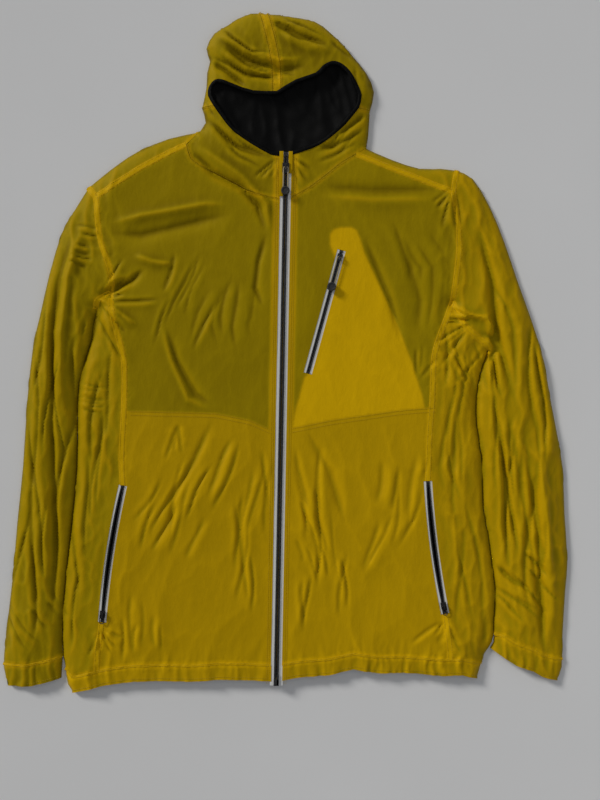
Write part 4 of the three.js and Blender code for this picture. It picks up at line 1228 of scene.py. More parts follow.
    def sew_binding(self) -> None:
        """Rolls the stretch binding round the face opening."""
        loops = self.loops["face_opening_binding"]
        rims = np.vstack([resampled(loop, 1.2 * MM) for loop in loops])

        def rolled(p: np.ndarray) -> np.ndarray:
            """Args: p: places (n, 2). Returns: the roll's height there, rounded across its width."""
            share = np.clip(nearest_distance(p, rims) / (2.5 * MM), 0, 1)
            return self.drape(p) + (0.2 + 1.6 * np.sqrt(np.clip(1 - (1 - share) ** 2, 0, 1))) * MM

        piece = self.cut_sheet(
            "face_opening_binding_roll", loops, rolled, 1.6 * MM, self.finishes.binding, thickness=1.6 * MM,
        )
        self.finish_piece(piece, ["face_opening_binding"], "binding")
        declare_sheet(loops)

    def shared_lines(self, first: str, second: str) -> list[Line]:
        """Args: first, second: neighbouring pieces. Returns: the lines along which they meet."""
        a = resampled(self.loops[first][0], 3.0 * MM)
        b = np.vstack([resampled(loop, 1.5 * MM) for loop in self.loops[second]])
        near = nearest_distance(a, b) < 1.6 * MM
        if near.all() or not near.any():
            return []
        start = int(np.argmax(~near))
        order = [(start + i) % len(a) for i in range(len(a))]
        lines, chain = [], []
        for i in order:
            if near[i]:
                chain.append(a[i])
            elif chain:
                lines.append(np.array(chain))
                chain = []
        if chain:
            lines.append(np.array(chain))
        return [line for line in lines if len(line) > 3]

    def ribbon(
        self, name: str, line: Line, width: float, lift: float, material: bpy.types.Material,
    ) -> bpy.types.Object:
        """Args: name: the piece's. line: its middle. width: its full width. lift: above the cloth.
            material: its finish.
        Returns: a closed strip.
        """
        line = smoothed(resampled(line, 2.5 * MM, closed=False))
        normal = normals_of(line)
        spread = np.linspace(-0.5, 0.5, 6) * width
        flat = np.array([p + n * s for p, n in zip(line, normal) for s in spread])
        profile = [0.12, *[lift / MM] * (len(spread) - 2), 0.12]
        high = self.drape(flat) + np.tile(profile, len(line)) * MM
        columns = len(spread)
        faces = grid_faces(len(line), columns)
        first = flat[faces[0]]
        if np.cross(first[1] - first[0], first[2] - first[0]) < 0:
            faces = faces[:, ::-1]
        points, all_faces = thick_sheet(np.column_stack([flat, high]), faces, 0.35 * MM)
        piece = new_piece(name, points, all_faces, material)
        store(piece, "layers", np.full(len(points), 1.0))
        outline = np.vstack([flat[::columns], flat[columns - 1::columns][::-1]])
        declare_sheet([outline])
        return piece

    def sew_seams(self) -> None:
        """Lays a felled band and two rows of stitches along each seam."""
        pairs = [(f"{s}_shoulder_yoke", f"{s}_front_panel") for s in SIDES]
        around_sleeve = ("shoulder_yoke", "front_panel", "side_panel")
        pairs += [(f"{s}_sleeve_front", f"{s}_{p}") for s in SIDES for p in around_sleeve]
        pairs += [(f"{s}_side_panel", f"{s}_front_panel") for s in SIDES]
        plain = [(f"{s}_collar", f"{s}_front_panel") for s in SIDES]
        plain += [(f"{s}_hood_panel", "hood_centre_strip") for s in SIDES]
        plain += [(f"{s}_collar", f"{s}_hood_panel") for s in SIDES]
        hems = [(f"{s}_{p}", "hem_casing") for s in SIDES for p in ("front_panel", "side_panel")]
        hems += [(f"{s}_sleeve_front", f"{s}_cuff") for s in SIDES]
        stitches: list[Line] = []
        for first, second in plain:
            for line in self.shared_lines(first, second):
                even = smoothed(resampled(line, 2.5 * MM, closed=False))
                stitches += [even + normals_of(even) * off for off in (-1.2 * MM, 1.2 * MM)]
        line = smoothed(resampled(np.array(POCKET_LINE) * MM + self.shift, 4 * MM, closed=False))
        for part in (line[line[:, 0] < -0.016], line[line[:, 0] > 0.006]):
            stitches += [part + (0, off * MM) for off in (-1.0, -6.0)]
        for first, second in pairs + hems:
            for i, line in enumerate(self.shared_lines(first, second)):
                if line_length(line) < 14 * MM:
                    continue
                width = 3.5 * MM if (first, second) in hems else self.seam_width
                name = f"seam_{first}_{second}_{i}"[:LONGEST_NAME]
                piece = self.ribbon(name, line, width, 0.42 * MM, self.finishes.shell)
                self.finish_piece(piece, [], "shell_fabric")
                even = smoothed(resampled(line, 2.5 * MM, closed=False))
                for side in (-0.34, 0.34):
                    stitches.append(even + normals_of(even) * side * width)
        for tape in ("main_zip_right_tape", "main_zip_left_tape"):
            away = -1 if "right" in tape else 1
            low, high = line_of_strip(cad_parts[tape])
            for off in (5.4 * MM, 8.0 * MM):
                edge = np.array([low + (away * off, 0.002), high + (away * off, -0.008)])
                stitches.append(resampled(edge, 6 * MM, closed=False))
        stitches += self.hem_rows()
        self.stitch(stitches)

    def hem_rows(self) -> list[Line]:
        """Returns: the rows of topstitching near the hem and cuff mouths."""
        rows = []
        for name in MOUTHS:
            loop = resampled(self.loops[name][0], 3 * MM)
            gap = nearest_distance(loop, self.drape.mouths)
            lower = loop[gap < 1.0 * MM]
            lower = lower[lower[:, 0].argsort()]
            row = lower + (0, self.hem_row)
            row = row[~inside(row, [self.window])]
            cut = np.where(np.linalg.norm(np.diff(row, axis=0), axis=1) > 9 * MM)[0]
            rows += [r for r in np.split(row, cut + 1) if len(r) > 4]
        return rows

    def stitch(self, lines: list[Line]) -> None:
        """Args: lines: the rows of stitches. Makes them all, as one piece of thread."""
        starts, dirs = [], []
        for line in lines:
            length = line_length(line)
            count = int(length / self.stitch_pitch)
            if count < 3:
                continue
            runs = np.concatenate([[0], np.cumsum(np.linalg.norm(np.diff(line, axis=0), axis=1))])
            at = (np.arange(count) + 0.5) * length / count
            x, y = np.interp(at, runs, line[:, 0]), np.interp(at, runs, line[:, 1])
            x2, y2 = np.interp(at + 0.4 * MM, runs, line[:, 0]), np.interp(at + 0.4 * MM, runs, line[:, 1])
            d = np.column_stack([x2 - x, y2 - y])
            size = np.linalg.norm(d, axis=1)
            good = size > 1e-7
            starts.append(np.column_stack([x, y])[good])
            dirs.append(d[good] / size[good][:, None])
        at, along = np.vstack(starts), np.vstack(dirs)
        across = np.column_stack([-along[:, 1], along[:, 0]])
        shape = ((-1, 0.45), (1, 0.45), (1, 0.62), (0, 0.78), (-1, 0.62))
        rims = []
        for end in (at - along * self.stitch_half, at + along * self.stitch_half):
            height = self.drape(end)
            for aside, up in shape:
                flat = end + across * (self.thread_half * aside)
                rims.append(np.column_stack([flat, height + up * MM]))
        count = len(at)
        stack = np.array(rims).transpose(1, 0, 2).reshape(-1, 3)
        ring = [tuple(range(4, -1, -1)), tuple(range(5, 10))]
        ring += [(i, (i + 1) % 5, (i + 1) % 5 + 5, i + 5) for i in range(5)]
        faces = [tuple(10 * k + i for i in f) for k in range(count) for f in ring]
        piece = new_piece("seam_stitching", stack, faces, self.finishes.thread)
        fix_normals(piece)
        self.finish_piece(piece, [], "shell_fabric")


def crease_shade_of(height: np.ndarray, faces: np.ndarray) -> np.ndarray:
    """Args: height: of each point. faces: the triangles.
    Returns: painted shade and highlight: 0.5 on the level, more on ridges, less in creases.
    """
    pairs = np.vstack([faces[:, [0, 1]], faces[:, [1, 2]], faces[:, [2, 0]]])
    pairs = np.vstack([pairs, pairs[:, ::-1]])
    count = np.maximum(np.bincount(pairs[:, 0], minlength=len(height)), 1)
    even = height.copy()
    for _ in range(9):
        around = np.bincount(pairs[:, 0], weights=even[pairs[:, 1]], minlength=len(height)) / count
        even = 0.4 * even + 0.6 * around
    return np.clip(0.5 + (height - even) / (1.6 * MM), 0, 1)


def line_length(line: Line) -> float:
    """Returns: a line's length."""
    return float(np.linalg.norm(np.diff(line, axis=0), axis=1).sum())


def smoothed(line: Line, rounds: int = 3) -> Line:
    """Args: line: an open line. rounds: how much. Returns: it with its small kinks eased, ends kept."""
    out = line.copy()
    for _ in range(rounds):
        out[1:-1] = 0.25 * out[:-2] + 0.5 * out[1:-1] + 0.25 * out[2:]
    return out


def normals_of(line: Line) -> Line:
    """Returns: at each point of a line, the unit direction to its left."""
    run = np.gradient(line, axis=0)
    run /= np.maximum(np.linalg.norm(run, axis=1), 1e-9)[:, None]
    return np.column_stack([-run[:, 1], run[:, 0]])


def fix_normals(piece: bpy.types.Object) -> None:
    """Turns a mesh's faces outwards. Args: piece: the mesh."""
    mesh = bmesh.new()
    mesh.from_mesh(piece.data)
    bmesh.ops.recalc_face_normals(mesh, faces=mesh.faces)
    mesh.to_mesh(piece.data)
    mesh.free()


def line_of_strip(node: bpy.types.Object) -> Line:
    """Args: node: a long CAD strip. Returns: its middle line, from its lowest end in Y to its highest."""
    points, _ = mesh_arrays(node)
    flat = np.unique(np.round(points[:, :2], 6), axis=0)
    flat = flat[flat[:, 1].argsort()]
    return flat.reshape(-1, 2, 2).mean(axis=1)


# ---------------------------------------------------------------- hard pieces
class Bench:
    """Models one hard piece by hand, block by block, then joins, turns and dresses it."""

    def __init__(self, name: str, material: bpy.types.Material) -> None:
        """Args: name: the piece's. material: its finish."""
        self.name = name
        self.material = material
        self.parts: list[bpy.types.Object] = []

    @staticmethod
    def clear() -> None:
        """Leaves edit mode and selects nothing."""
        if bpy.context.object and bpy.context.object.mode != "OBJECT":
            bpy.ops.object.mode_set(mode="OBJECT")
        bpy.ops.object.select_all(action="DESELECT")

    def take(self) -> bpy.types.Object:
        """Keeps the primitive that was just added. Returns: it, with its size applied."""
        part = bpy.context.object
        bpy.ops.object.transform_apply(location=True, rotation=True, scale=True)
        self.parts.append(part)
        return part

    def pick(self, part: bpy.types.Object, wanted: Callable[[Vector, Vector], bool]) -> None:
        """Enters edit mode with some faces selected.

        Args:
            part: the mesh. wanted: a test of a face's middle and normal.
        """
        self.clear()
        bpy.context.view_layer.objects.active = part
        part.select_set(True)
        bpy.ops.object.mode_set(mode="EDIT")
        bpy.ops.mesh.select_mode(type="FACE")
        bpy.ops.mesh.select_all(action="DESELECT")
        mesh = bmesh.from_edit_mesh(part.data)
        for face in mesh.faces:
            face.select_set(wanted(face.calc_center_median(), face.normal))
        bmesh.update_edit_mesh(part.data)

    def modify(self, part: bpy.types.Object, kind: str, **settings: Any) -> None:
        """Adds a modifier and applies it. Args: part: the mesh. kind: its type. settings: its settings."""
        self.clear()
        bpy.context.view_layer.objects.active = part
        part.select_set(True)
        modifier = part.modifiers.new(kind.lower(), kind)
        for key, value in settings.items():
            setattr(modifier, key, value)
        bpy.ops.object.modifier_apply(modifier=modifier.name)

    def block(self, low: Sequence[float], high: Sequence[float], bevel: float = 0.3, foot: float = 1.0,
              panel: float = 0.0) -> bpy.types.Object:
        """Makes a bevelled block.

        Args:
            low, high: its corners, in millimetres. bevel: of its edges, in millimetres.
            foot: how much narrower its lower-Y end is.
            panel: how far a raised panel stands on its top, in millimetres.
        Returns:
            The block.
        """
        self.clear()
        size = [(b - a) * MM for a, b in zip(low, high)]
        middle = [(b + a) * 0.5 * MM for a, b in zip(low, high)]
        bpy.ops.mesh.primitive_cube_add(size=1, location=middle, scale=size)
        part = self.take()
        if foot != 1.0:
            self.pick(part, lambda c, n: n.y < -0.9)
            bpy.ops.transform.resize(value=(foot, 1, 1), center_override=(middle[0], low[1] * MM, middle[2]))
        if panel:
            self.pick(part, lambda c, n: n.z > 0.9)
            bpy.ops.mesh.inset(thickness=min(size[0], size[1]) * 0.16)
            bpy.ops.mesh.extrude_region_move(TRANSFORM_OT_translate={"value": (0, 0, panel * MM)})
        self.modify(part, "BEVEL", width=bevel * MM, segments=3, limit_method="ANGLE")
        return part

    def finish(self, at: Matrix) -> bpy.types.Object:
        """Joins the parts.

        Args:
            at: where the finished piece goes.
        Returns:
            the piece, its object at the origin.
        """
        self.clear()
        for part in self.parts:
            part.select_set(True)
        piece = self.parts[0]
        bpy.context.view_layer.objects.active = piece
        if len(self.parts) > 1:
            bpy.ops.object.join()
        piece.matrix_world = at
        bpy.ops.object.transform_apply(location=True, rotation=True, scale=True)
        piece.name = piece.data.name = self.name
        piece.data.materials.clear()
        piece.data.materials.append(self.material)
        bpy.ops.object.shade_smooth_by_angle(angle=math.radians(40))
        self.clear()
        return piece


@dataclass(frozen=True)
class ZipSizes:
    """A size of zip, in millimetres, as its solids are."""

    window: float  # half the opening in the shell
    coil_inner: float
    coil_outer: float
    coil_low: float
    coil_high: float
    pitch: float
    slider_length: float
    slider_half: float
    under: tuple[float, float]
    over: tuple[float, float]
    cord: float
    knob_radius: float
    knob_low: float
    stripe_from: float
    loft: float = 13.05  # the tape's upper side
    lap: float = 1.3  # how far the tape reaches under the shell

    @property
    def pivot(self) -> float:
        """Returns: the height of the pull's cord."""
        return self.over[1] + 0.4 + self.cord / 2


MAIN_ZIP = ZipSizes(
    window=7.6, coil_inner=0.35, coil_outer=3.35, coil_low=13.1, coil_high=15.3, pitch=1.5,
    slider_length=14, slider_half=4.8, under=(11.0, 12.3), over=(15.9, 17.2),
    cord=1.8, knob_radius=6.0, knob_low=16.2, stripe_from=3.35,
)
SMALL_ZIP = ZipSizes(
    window=5.9, coil_inner=0.4, coil_outer=2.5, coil_low=12.9, coil_high=14.4, pitch=1.25,
    slider_length=11, slider_half=3.8, under=(11.3, 12.5), over=(15.5, 16.7),
    cord=1.6, knob_radius=6.3, knob_low=15.8, stripe_from=2.5,
)


class Track:
    """A zip's path: straight, or an arc that runs up the jacket."""

    def __init__(
        self, foot: Sequence[float], head: Sequence[float], shift: Sequence[float], radius: float = 0.0,
    ) -> None:
        """Args: foot, head: its ends, in millimetres. shift: their origin in the frame, metres.
            radius: an arc's, in millimetres.
        """
        self.foot = np.array(foot, float) * MM + shift
        self.head = np.array(head, float) * MM + shift
        self.radius = radius * MM
        chord = self.head - self.foot
        self.length = float(np.linalg.norm(chord))
        if radius:
            half = self.length / 2
            inwards = np.array([chord[1], -chord[0]]) / self.length
            self.centre = (self.foot + self.head) / 2 + inwards * math.sqrt(self.radius ** 2 - half ** 2)
            self.length = 2 * self.radius * math.asin(half / self.radius)
            self.start = math.atan2(*(self.foot - self.centre)[::-1])

    def at(self, along: np.ndarray, across: np.ndarray) -> np.ndarray:
        """Args: along: lengths from the foot, in metres. across: distances to the right of it.
        Returns: the places (n, 2).
        """
        along, across = np.broadcast_arrays(np.asarray(along, float), np.asarray(across, float))
        if self.radius:
            angle = self.start - along / self.radius
            out = self.radius - across
            return self.centre + np.stack([np.cos(angle) * out, np.sin(angle) * out], axis=-1)
        up = (self.head - self.foot) / self.length
        return self.foot + along[..., None] * up + across[..., None] * np.array([up[1], -up[0]])

    def frame_at(self, along: float) -> Matrix:
        """Args: along: a length from the foot. Returns: the place there, its Y up the zip."""
        a, b = self.at(np.array([along, along + 1e-5]), np.zeros(2))
        turn = math.atan2(b[1] - a[1], b[0] - a[0]) - math.pi / 2
        return Matrix.Translation((a[0], a[1], 0)) @ Matrix.Rotation(turn, 4, "Z")


class Pull(Enum):
    """What hangs from a slider."""

    CORD_AND_KNOB = "cord loop with a round knob"
    RING = "wire ring"


@dataclass
class Zip:
    """A zip: two tapes with a white stripe, two rows of coil, a slider and its pull."""

    name: str
    sizes: ZipSizes
    track: Track
    cloth: Cloth
    slider_at: float
    pull: Pull
    pull_length: float
    slider_body: str
    pull_body: str
    coil_nodes: tuple[str, str]  # to the left and to the right of it, seen from above
    tape_nodes: tuple[str, ...]
    start: float = 3.3
    end: float = 3.3
    parted: float = 0.0  # how far each row leans out in the middle
    knob_height: float = 7.6
    wire: float = 0.42  # half the thickness of the coil's wire

    def gap(self, along: np.ndarray) -> np.ndarray:
        """Args: along: metres from the foot. Returns: how far the rows are parted there, in metres."""
        low, high = self.slider_at + 0.010, self.track.length - self.end * MM
        t = np.clip((along - low) / max(high - low, 1e-6), 0, 1)
        return self.parted * MM * np.sin(np.pi * t) ** 0.7 if self.parted else 0.0 * along

    def sew_tapes(self) -> None:
        """Makes the two tapes."""
        s = self.sizes
        count = int(self.track.length / (3 * MM))
        along = np.linspace(0, self.track.length, count + 1)
        for side, word in ((-1, "right"), (1, "left")):
            stops = np.array([
                s.coil_inner, (s.coil_inner + s.stripe_from) / 2, s.stripe_from - 0.02, s.stripe_from + 0.02,
                (s.stripe_from + s.window) / 2, s.window - 0.1, s.window + s.lap,
            ]) * MM
            gap = self.gap(along)
            flat = [self.track.at(along, side * (stop + gap * (1 - stop / stops[-1]))) for stop in stops]
            grid = np.stack(flat, axis=1).reshape(-1, 2)
            columns = len(stops)
            wave = 0.12 * np.sin(along * 90 + side) + 0.1 * np.sin(along * 37)
            sway = np.repeat(wave, columns) * 0.5 * MM * np.tile(stops / stops[-1], len(along))
            high = np.full(len(grid), s.loft * MM) + sway
            faces = grid_faces(len(along), columns)
            if side < 0:
                faces = faces[:, ::-1]
            points, closed = thick_sheet(np.column_stack([grid, high]), faces, 0.35 * MM)
            piece = new_piece(f"{self.name}_{word}_tape_strip", points, closed, self.cloth.finishes.tape, 30)
            stripe = np.tile((np.arange(columns) >= 3).astype(float), len(along))
            store(piece, "stripe", np.tile(stripe, 2))
            mine = [n for n in self.tape_nodes if len(self.tape_nodes) == 1 or f"_{word}_" in n]
            self.cloth.finish_piece(piece, mine, "reflective_tape")
            outline = np.vstack([grid[::columns], grid[columns - 1::columns][::-1]])
            declare_sheet([outline])
        if len(self.tape_nodes) == 1:
            self.bar_ends()

    def bar_ends(self) -> None:
        """Closes a pocket zip with a bar of tape at each end."""
        s = self.sizes
        for word, along in (("lower", 1.5), ("upper", self.track.length / MM - 1.5)):
            bench = Bench(f"{self.name}_{word}_bar", self.cloth.finishes.coil)
            bench.block((-s.coil_outer, -1.3, s.loft), (s.coil_outer, 1.3, s.coil_high), 0.3)
            self.cloth.finish_piece(bench.finish(self.track.frame_at(along * MM)), [], "coil")

    def spin_teeth(self) -> None:
        """Winds the two rows of coil: one turn is modelled, then repeated."""
        s = self.sizes
        Bench.clear()
        wide, tall = (s.coil_outer - s.coil_inner) / 2, (s.coil_high - s.coil_low) / 2
        bpy.ops.mesh.primitive_torus_add(major_segments=9, minor_segments=4, major_radius=1, minor_radius=0.3,
                                         rotation=(math.pi / 2, 0, 0))
        turn = bpy.context.object
        bpy.ops.object.transform_apply(location=True, rotation=True, scale=True)
        shape = np.array([v.co for v in turn.data.vertices])
        ring = np.linalg.norm(shape[:, [0, 2]], axis=1)
        shape[:, [0, 2]] *= (1 + (ring - 1) * 0.4)[:, None] / ring[:, None]
        quads = np.array([tuple(p.vertices) for p in turn.data.polygons])
        bpy.data.objects.remove(turn)
        count = int((self.track.length / MM - self.start - self.end) / s.pitch)
        steps = (self.start + (np.arange(count) + 0.5) * s.pitch) * MM
        for side, node in zip((-1, 1), self.coil_nodes):
            middle = (s.coil_inner + wide) * MM + self.gap(steps)
            x = side * (middle[:, None] + shape[None, :, 0] * (wide - 0.1) * MM)
            lean = shape[None, :, 2] * 0.25 * s.pitch
            y = steps[:, None] + (shape[None, :, 1] / 0.3 * self.wire + lean + side * 0.25 * s.pitch) * MM
            z = ((s.coil_low + s.coil_high) / 2 + shape[:, 2] * (tall - 0.05)) * MM
            flat = self.track.at(y, x).reshape(-1, 2)
            points = np.column_stack([flat, np.tile(z, count)])
            faces = (quads[None] + np.arange(count)[:, None, None] * len(shape)).reshape(-1, 4)
            outward = faces if side > 0 else faces[:, ::-1]
            piece = new_piece(f"{node}_teeth", points, outward, self.cloth.finishes.coil, 80)
            self.cloth.finish_piece(piece, [node], "coil")

    def cast_slider(self) -> None:
        """Casts the slider: two plates, a wedge, side lips and a bridge for the pull."""
        s = self.sizes
        half, wide = s.slider_length / 2, s.slider_half
        bench = Bench(f"{self.name}_slider_casting", self.cloth.finishes.enamel)
        bench.block((-wide, -half, s.over[0]), (wide, half, s.over[1] - 0.25), 0.45, 0.80, 0.25)
        bench.block((-wide, -half, s.under[0]), (wide, half, s.under[1]), 0.4, 0.80)
        bench.block((-0.22, half - 3, s.under[1] - 0.1), (0.22, half, s.over[0] + 0.1), 0.05)
        for side in (-1, 1):
            inner, outer = sorted((side * (wide - 1.0), side * wide))
            bench.block((inner, -half + 1.2, s.over[0] - 0.9), (outer, half - 0.6, s.over[0] + 0.15), 0.2)
            post = side * 2.8
            bench.block((-1.3, post - 0.7, s.over[1] - 0.2), (1.3, post + 0.7, s.over[1] + 3.1), 0.3)
        bench.block((-1.4, -3.5, s.over[1] + 2.8), (1.4, 3.5, s.over[1] + 4.0), 0.45)
        piece = bench.finish(self.track.frame_at(self.slider_at))
        self.cloth.finish_piece(piece, [f"{self.name}_slider"], "slider_metal", self.slider_body)

    def loop_path(self, half: float) -> np.ndarray:
        """Args: half: half the loop's inside width, in millimetres.
        Returns: the pull's closed middle line, local millimetres.
        """
        thick = self.sizes.cord / 2
        middle = half + thick
        foot = -(self.pull_length - middle - thick)
        turns = np.linspace(math.pi, 2 * math.pi, 13)
        low = np.column_stack([middle * np.cos(turns), foot + middle * np.sin(turns)])
        corner = np.linspace(0, math.pi / 2, 5)
        radius = middle * 0.55
        right = np.column_stack([
            middle - radius + radius * np.cos(corner), thick - radius + radius * np.sin(corner),
        ])
        left = right[::-1] * (-1, 1)
        return np.vstack([low, right, left])

    def hang_pull(self) -> None:
        """Makes the pull: a knotted loop of cord through a round knob, or a wire ring."""
        s = self.sizes
        ring = self.pull is Pull.RING
        path = self.loop_path(2.2 if ring or s is SMALL_ZIP else 2.3)
        if not ring:
            squeeze = np.clip((-path[:, 1] - 6) / 8, 0, 1) * (path[:, 1] > -self.pull_length + 5)
            path = path * np.column_stack([1 - 0.42 * squeeze, np.ones(len(path))])
        bpy.ops.object.select_all(action="DESELECT")
        curve = bpy.data.curves.new(f"{self.name}_loop", "CURVE")
        curve.dimensions = "3D"
        spline = curve.splines.new("POLY")
        spline.use_cyclic_u = True
        spline.points.add(len(path) - 1)
        for point, (x, y) in zip(spline.points, path):
            point.co = (x * MM, y * MM, s.pivot * MM, 1)
        curve.bevel_depth = s.cord / 2 * MM * (0.8 if ring else 0.9)
        curve.bevel_resolution = 3
        loop = bpy.data.objects.new(f"{self.name}_pull_line", curve)
        bpy.context.scene.collection.objects.link(loop)
        bpy.context.view_layer.objects.active = loop
        loop.select_set(True)
        bpy.ops.object.convert(target="MESH")
        loop = bpy.context.object
        material = self.cloth.finishes.enamel if ring else self.cloth.finishes.cord
        bench = Bench(f"{self.name}_pull_{'wire' if ring else 'cord'}", material)
        bench.parts.append(loop)
        piece = bench.finish(self.track.frame_at(self.slider_at))
        node = f"{self.name}_pull_{'ring' if ring else 'loop'}"
        self.cloth.finish_piece(piece, [node], "slider_metal" if ring else "pull_cord", self.pull_body)
        if not ring:
            self.turn_knob()

    def turn_knob(self) -> None:
        """Turns the round knob: a domed button with a rolled rim and a dimple on each face."""
        s = self.sizes
        bench = Bench(f"{self.name}_pull_bead", self.cloth.finishes.rubber)
        bench.clear()
        height = self.knob_height
        middle = (0, -self.pull_length * MM, (s.knob_low + height / 2) * MM)
        bpy.ops.mesh.primitive_cylinder_add(
            vertices=28, radius=s.knob_radius * MM * 0.97, depth=height * MM, location=middle
        )
        part = bench.take()
        for up in (1, -1):
            bench.pick(part, lambda c, n: n.z * up > 0.9)
            bpy.ops.mesh.inset(thickness=1.5 * MM)
            bpy.ops.mesh.inset(thickness=0.7 * MM)
            bpy.ops.mesh.extrude_region_move(TRANSFORM_OT_translate={"value": (0, 0, -0.9 * up * MM)})
            bpy.ops.mesh.inset(thickness=0.5 * MM)
        sharp = math.radians(50)
        bench.modify(part, "BEVEL", width=1.1 * MM, segments=4, limit_method="ANGLE", angle_limit=sharp)
        piece = bench.finish(self.track.frame_at(self.slider_at))
        self.cloth.finish_piece(piece, [f"{self.name}_pull_knob"], "pull_knob", self.pull_body)

    def build(self) -> None:
        """Makes the whole zip."""
        self.sew_tapes()
        self.spin_teeth()
        self.cast_slider()
        self.hang_pull()


class MainZipEnds:
    """The main zip's stops, insertion pin and retainer box, in millimetres."""

    stop_below = 7.7  # from the head of the zip to the top stops' lower ends
    low = 12.6
    high = 15.6
    facing_low = 13.8
    facing_high = 15.3

    def __init__(self, main: Zip) -> None:
        """Args: main: the main zip."""
        self.main = main

    def build(self) -> None:
        """Makes the small pieces."""
        track, cloth = self.main.track, self.main.cloth
        top = track.length / MM - self.stop_below
        low, high = self.low, self.high
        for side, word in ((-1, "right"), (1, "left")):
            inner, outer = sorted((side * 0.5, side * 3.5))
            bench = Bench(f"main_zip_{word}_stop_clip", cloth.finishes.enamel)
            bench.block((inner, top, low), (outer, top + 4, high), 0.5)
            piece = bench.finish(track.frame_at(0.0))
            cloth.finish_piece(piece, [f"main_zip_{word}_top_stop"], "slider_metal")
        bench = Bench("main_zip_pin", cloth.finishes.enamel)
        bench.block((-2.6, 2, 13.0), (-1.2, 15, 14.6), 0.3)
        cloth.finish_piece(bench.finish(track.frame_at(0.0)), ["main_zip_insertion_pin"], "slider_metal")
        bench = Bench("main_zip_box", cloth.finishes.coil)
        bench.block((0.5, 0, low), (3.5, 15, high), 0.4)
        bench.block((-3.5, 0, low), (3.5, 1.6, high), 0.4)
        bench.block((-3.5, 0, low), (-3.0, 9, high), 0.15)
        bench.block((-3.5, 0, 15.0), (3.5, 9, high), 0.15)
        cloth.finish_piece(bench.finish(track.frame_at(0.0)), ["main_zip_retainer_box"], "slider_metal")
        for word, side, down in (("right", -1, 62), ("left", 1, 30)):
            self.face_tape(word, side, down)

    def face_tape(self, word: str, side: int, down: float) -> None:
        """Args: word, side: which tape. down: how far. Lays a strip of shell cloth over the tape's
            stripe at the collar.
        """
        track, cloth = self.main.track, self.main.cloth
        low, high = track.length / MM - down, track.length / MM + 0.6
        inner, outer = sorted((side * 3.6, side * 9.2))
        bench = Bench(f"main_zip_{word}_facing", cloth.finishes.shell)
        bench.block((inner, low, self.facing_low), (outer, high, self.facing_high), 0.3)
        piece = bench.finish(track.frame_at(0.0))
        store(piece, "layers", np.full(len(piece.data.vertices), 0.6))
        store(piece, "relief", np.full(len(piece.data.vertices), 0.5))
        cloth.finish_piece(piece, [], "shell_fabric")


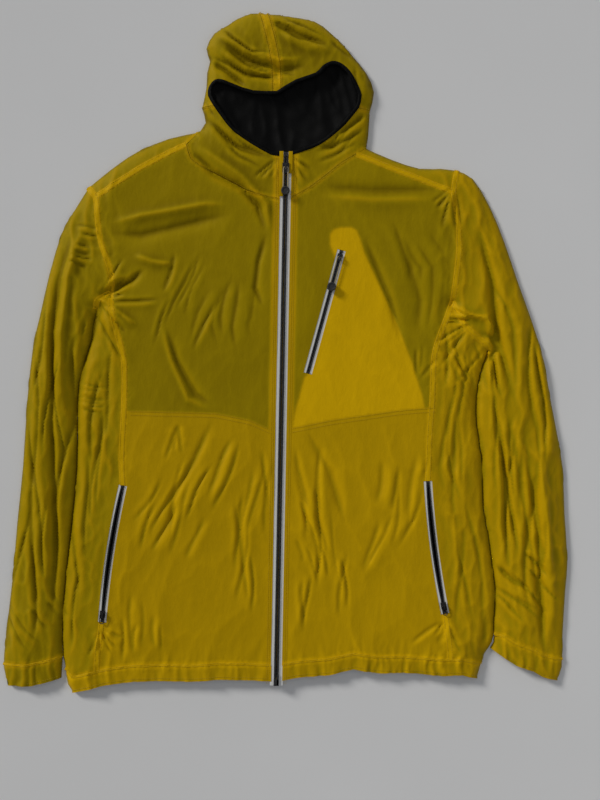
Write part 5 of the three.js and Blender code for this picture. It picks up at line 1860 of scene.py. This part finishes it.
# ---------------------------------------------------------------- the room
@dataclass
class Studio:
    """A pale floor, soft lights and a camera that looks straight down."""

    camera_at: tuple[float, float, float] = (0.0202, -0.0663, 1.558)
    lens: float = 50.0
    floor_half: float = 6.0
    softness: float = math.radians(14)  # how wide the far lamp looks from the jacket
    floor_at: float = -0.0002
    sky: Colour = (0.90, 0.93, 1.0)
    sky_strength: float = 0.20

    def light(
        self, name: str, at: Sequence[float], power: float, size: float = 0.0, colour: Colour = (1, 1, 1),
    ) -> None:
        """Hangs a lamp that faces the jacket.

        Args:
            name: the lamp's. at: its place. power: in watts, or of a far lamp per square metre.
            size: of its side, or 0 for a far lamp. colour: of its light.
        """
        lamp = bpy.data.lights.new(name, "AREA" if size else "SUN")
        lamp.energy, lamp.color = power, colour
        if size:
            lamp.shape, lamp.size = "SQUARE", size
        else:
            lamp.angle = self.softness
        holder = bpy.data.objects.new(name, lamp)
        holder.location = at
        holder.rotation_euler = (Vector((0, 0, 0)) - Vector(at)).to_track_quat("-Z", "Y").to_euler()
        bpy.context.scene.collection.objects.link(holder)

    def build(self) -> None:
        """Sets the camera, the floor and the lights."""
        data = bpy.data.cameras.new("camera")
        data.lens, data.sensor_width, data.sensor_fit = self.lens, 36.0, "AUTO"
        data.clip_start, data.clip_end = 0.05, 60.0
        camera = bpy.data.objects.new("camera", data)
        camera.location = self.camera_at
        bpy.context.scene.collection.objects.link(camera)
        bpy.context.scene.camera = camera
        Bench.clear()
        bpy.ops.mesh.primitive_plane_add(size=2 * self.floor_half, location=(0, 0, self.floor_at))
        floor = bpy.context.object
        floor.name = "floor"
        p = Paint("pale_floor", 0.75, Specular_IOR_Level=0.2)
        p.set("Base Color", p.mix(p.noise(3.0, 3.0), (0.78, 0.78, 0.77), (0.84, 0.84, 0.83)))
        floor.data.materials.append(p.material)
        world = bpy.data.worlds.new("pale_room")
        world.use_nodes = True
        sky = world.node_tree.nodes["Background"]
        sky.inputs[0].default_value = (*self.sky, 1.0)
        sky.inputs[1].default_value = self.sky_strength
        bpy.context.scene.world = world
        self.light("key", (-1.9, 1.5, 1.2), 1.75, colour=(1.0, 0.98, 0.95))
        self.light("fill", (1.9, -0.6, 1.9), 3.5, 1.6, (0.95, 0.97, 1.0))
        self.light("top", (0.2, 0.3, 2.8), 5, 1.8)
        bpy.context.scene.view_settings.view_transform = "Standard"
        bpy.context.scene.view_settings.look = "None"


# ---------------------------------------------------------------- the whole jacket
class Jacket:
    """The hooded shell jacket: its cloth, its seams and its four zips."""

    shift = (-0.0001 * MM, -0.2602 * MM)

    def __init__(self, finishes: Wardrobe) -> None:
        """Args: finishes: every finish."""
        self.cloth = Cloth(finishes, self.shift)

    def zips(self) -> list[Zip]:
        """Returns: the four zips, the main one first."""
        c, sh = self.cloth, self.shift
        main = Track((-13, -463), (1, 279), sh)
        chest = Track((31, -29), (78, 142), sh)
        right = Track((-255, -375), (-226, -185), sh, 1300)
        left = Track((222, -363), (198, -179), sh, 1300)
        made = [
            Zip(
                "main_zip", MAIN_ZIP, main, c, main.length - 23 * MM, Pull.CORD_AND_KNOB, 32,
                "main_slider", "main_pull", ("main_zip_right_coil", "main_zip_left_coil"),
                ("main_zip_right_tape", "main_zip_left_tape"), start=15.3, end=8.0,
            ),
            Zip(
                "chest_zip", SMALL_ZIP, chest, c, chest.length - 11 * MM, Pull.CORD_AND_KNOB, 42,
                "chest_slider", "chest_pull", ("chest_zip_right_coil", "chest_zip_left_coil"),
                ("chest_zip_tape",),
            ),
        ]
        for word, track, rows in (("right", right, ("side", "front")), ("left", left, ("front", "side"))):
            name = f"{word}_hand_zip"
            coils = tuple(f"{name}_{row}_coil" for row in rows)
            made.append(Zip(
                name, SMALL_ZIP, track, c, 11 * MM, Pull.RING, 13, f"{word}_hand_slider", f"{word}_hand_pull",
                coils, (f"{name}_tape",), parted=1.3,
            ))
        return made

    def build(self) -> None:
        """Makes everything, the floor side first."""
        self.cloth.sew_back()
        self.cloth.sew_inside()
        self.cloth.sew_front()
        self.cloth.sew_binding()
        self.cloth.sew_seams()
        zips = self.zips()
        for one in zips:
            one.build()
        MainZipEnds(zips[0]).build()


def main() -> None:
    """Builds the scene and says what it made."""
    logging.basicConfig(level=logging.INFO, format="%(name)s: %(message)s")
    Studio().build()
    Jacket(Wardrobe()).build()
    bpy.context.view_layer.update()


if __name__ == "__main__":
    main()
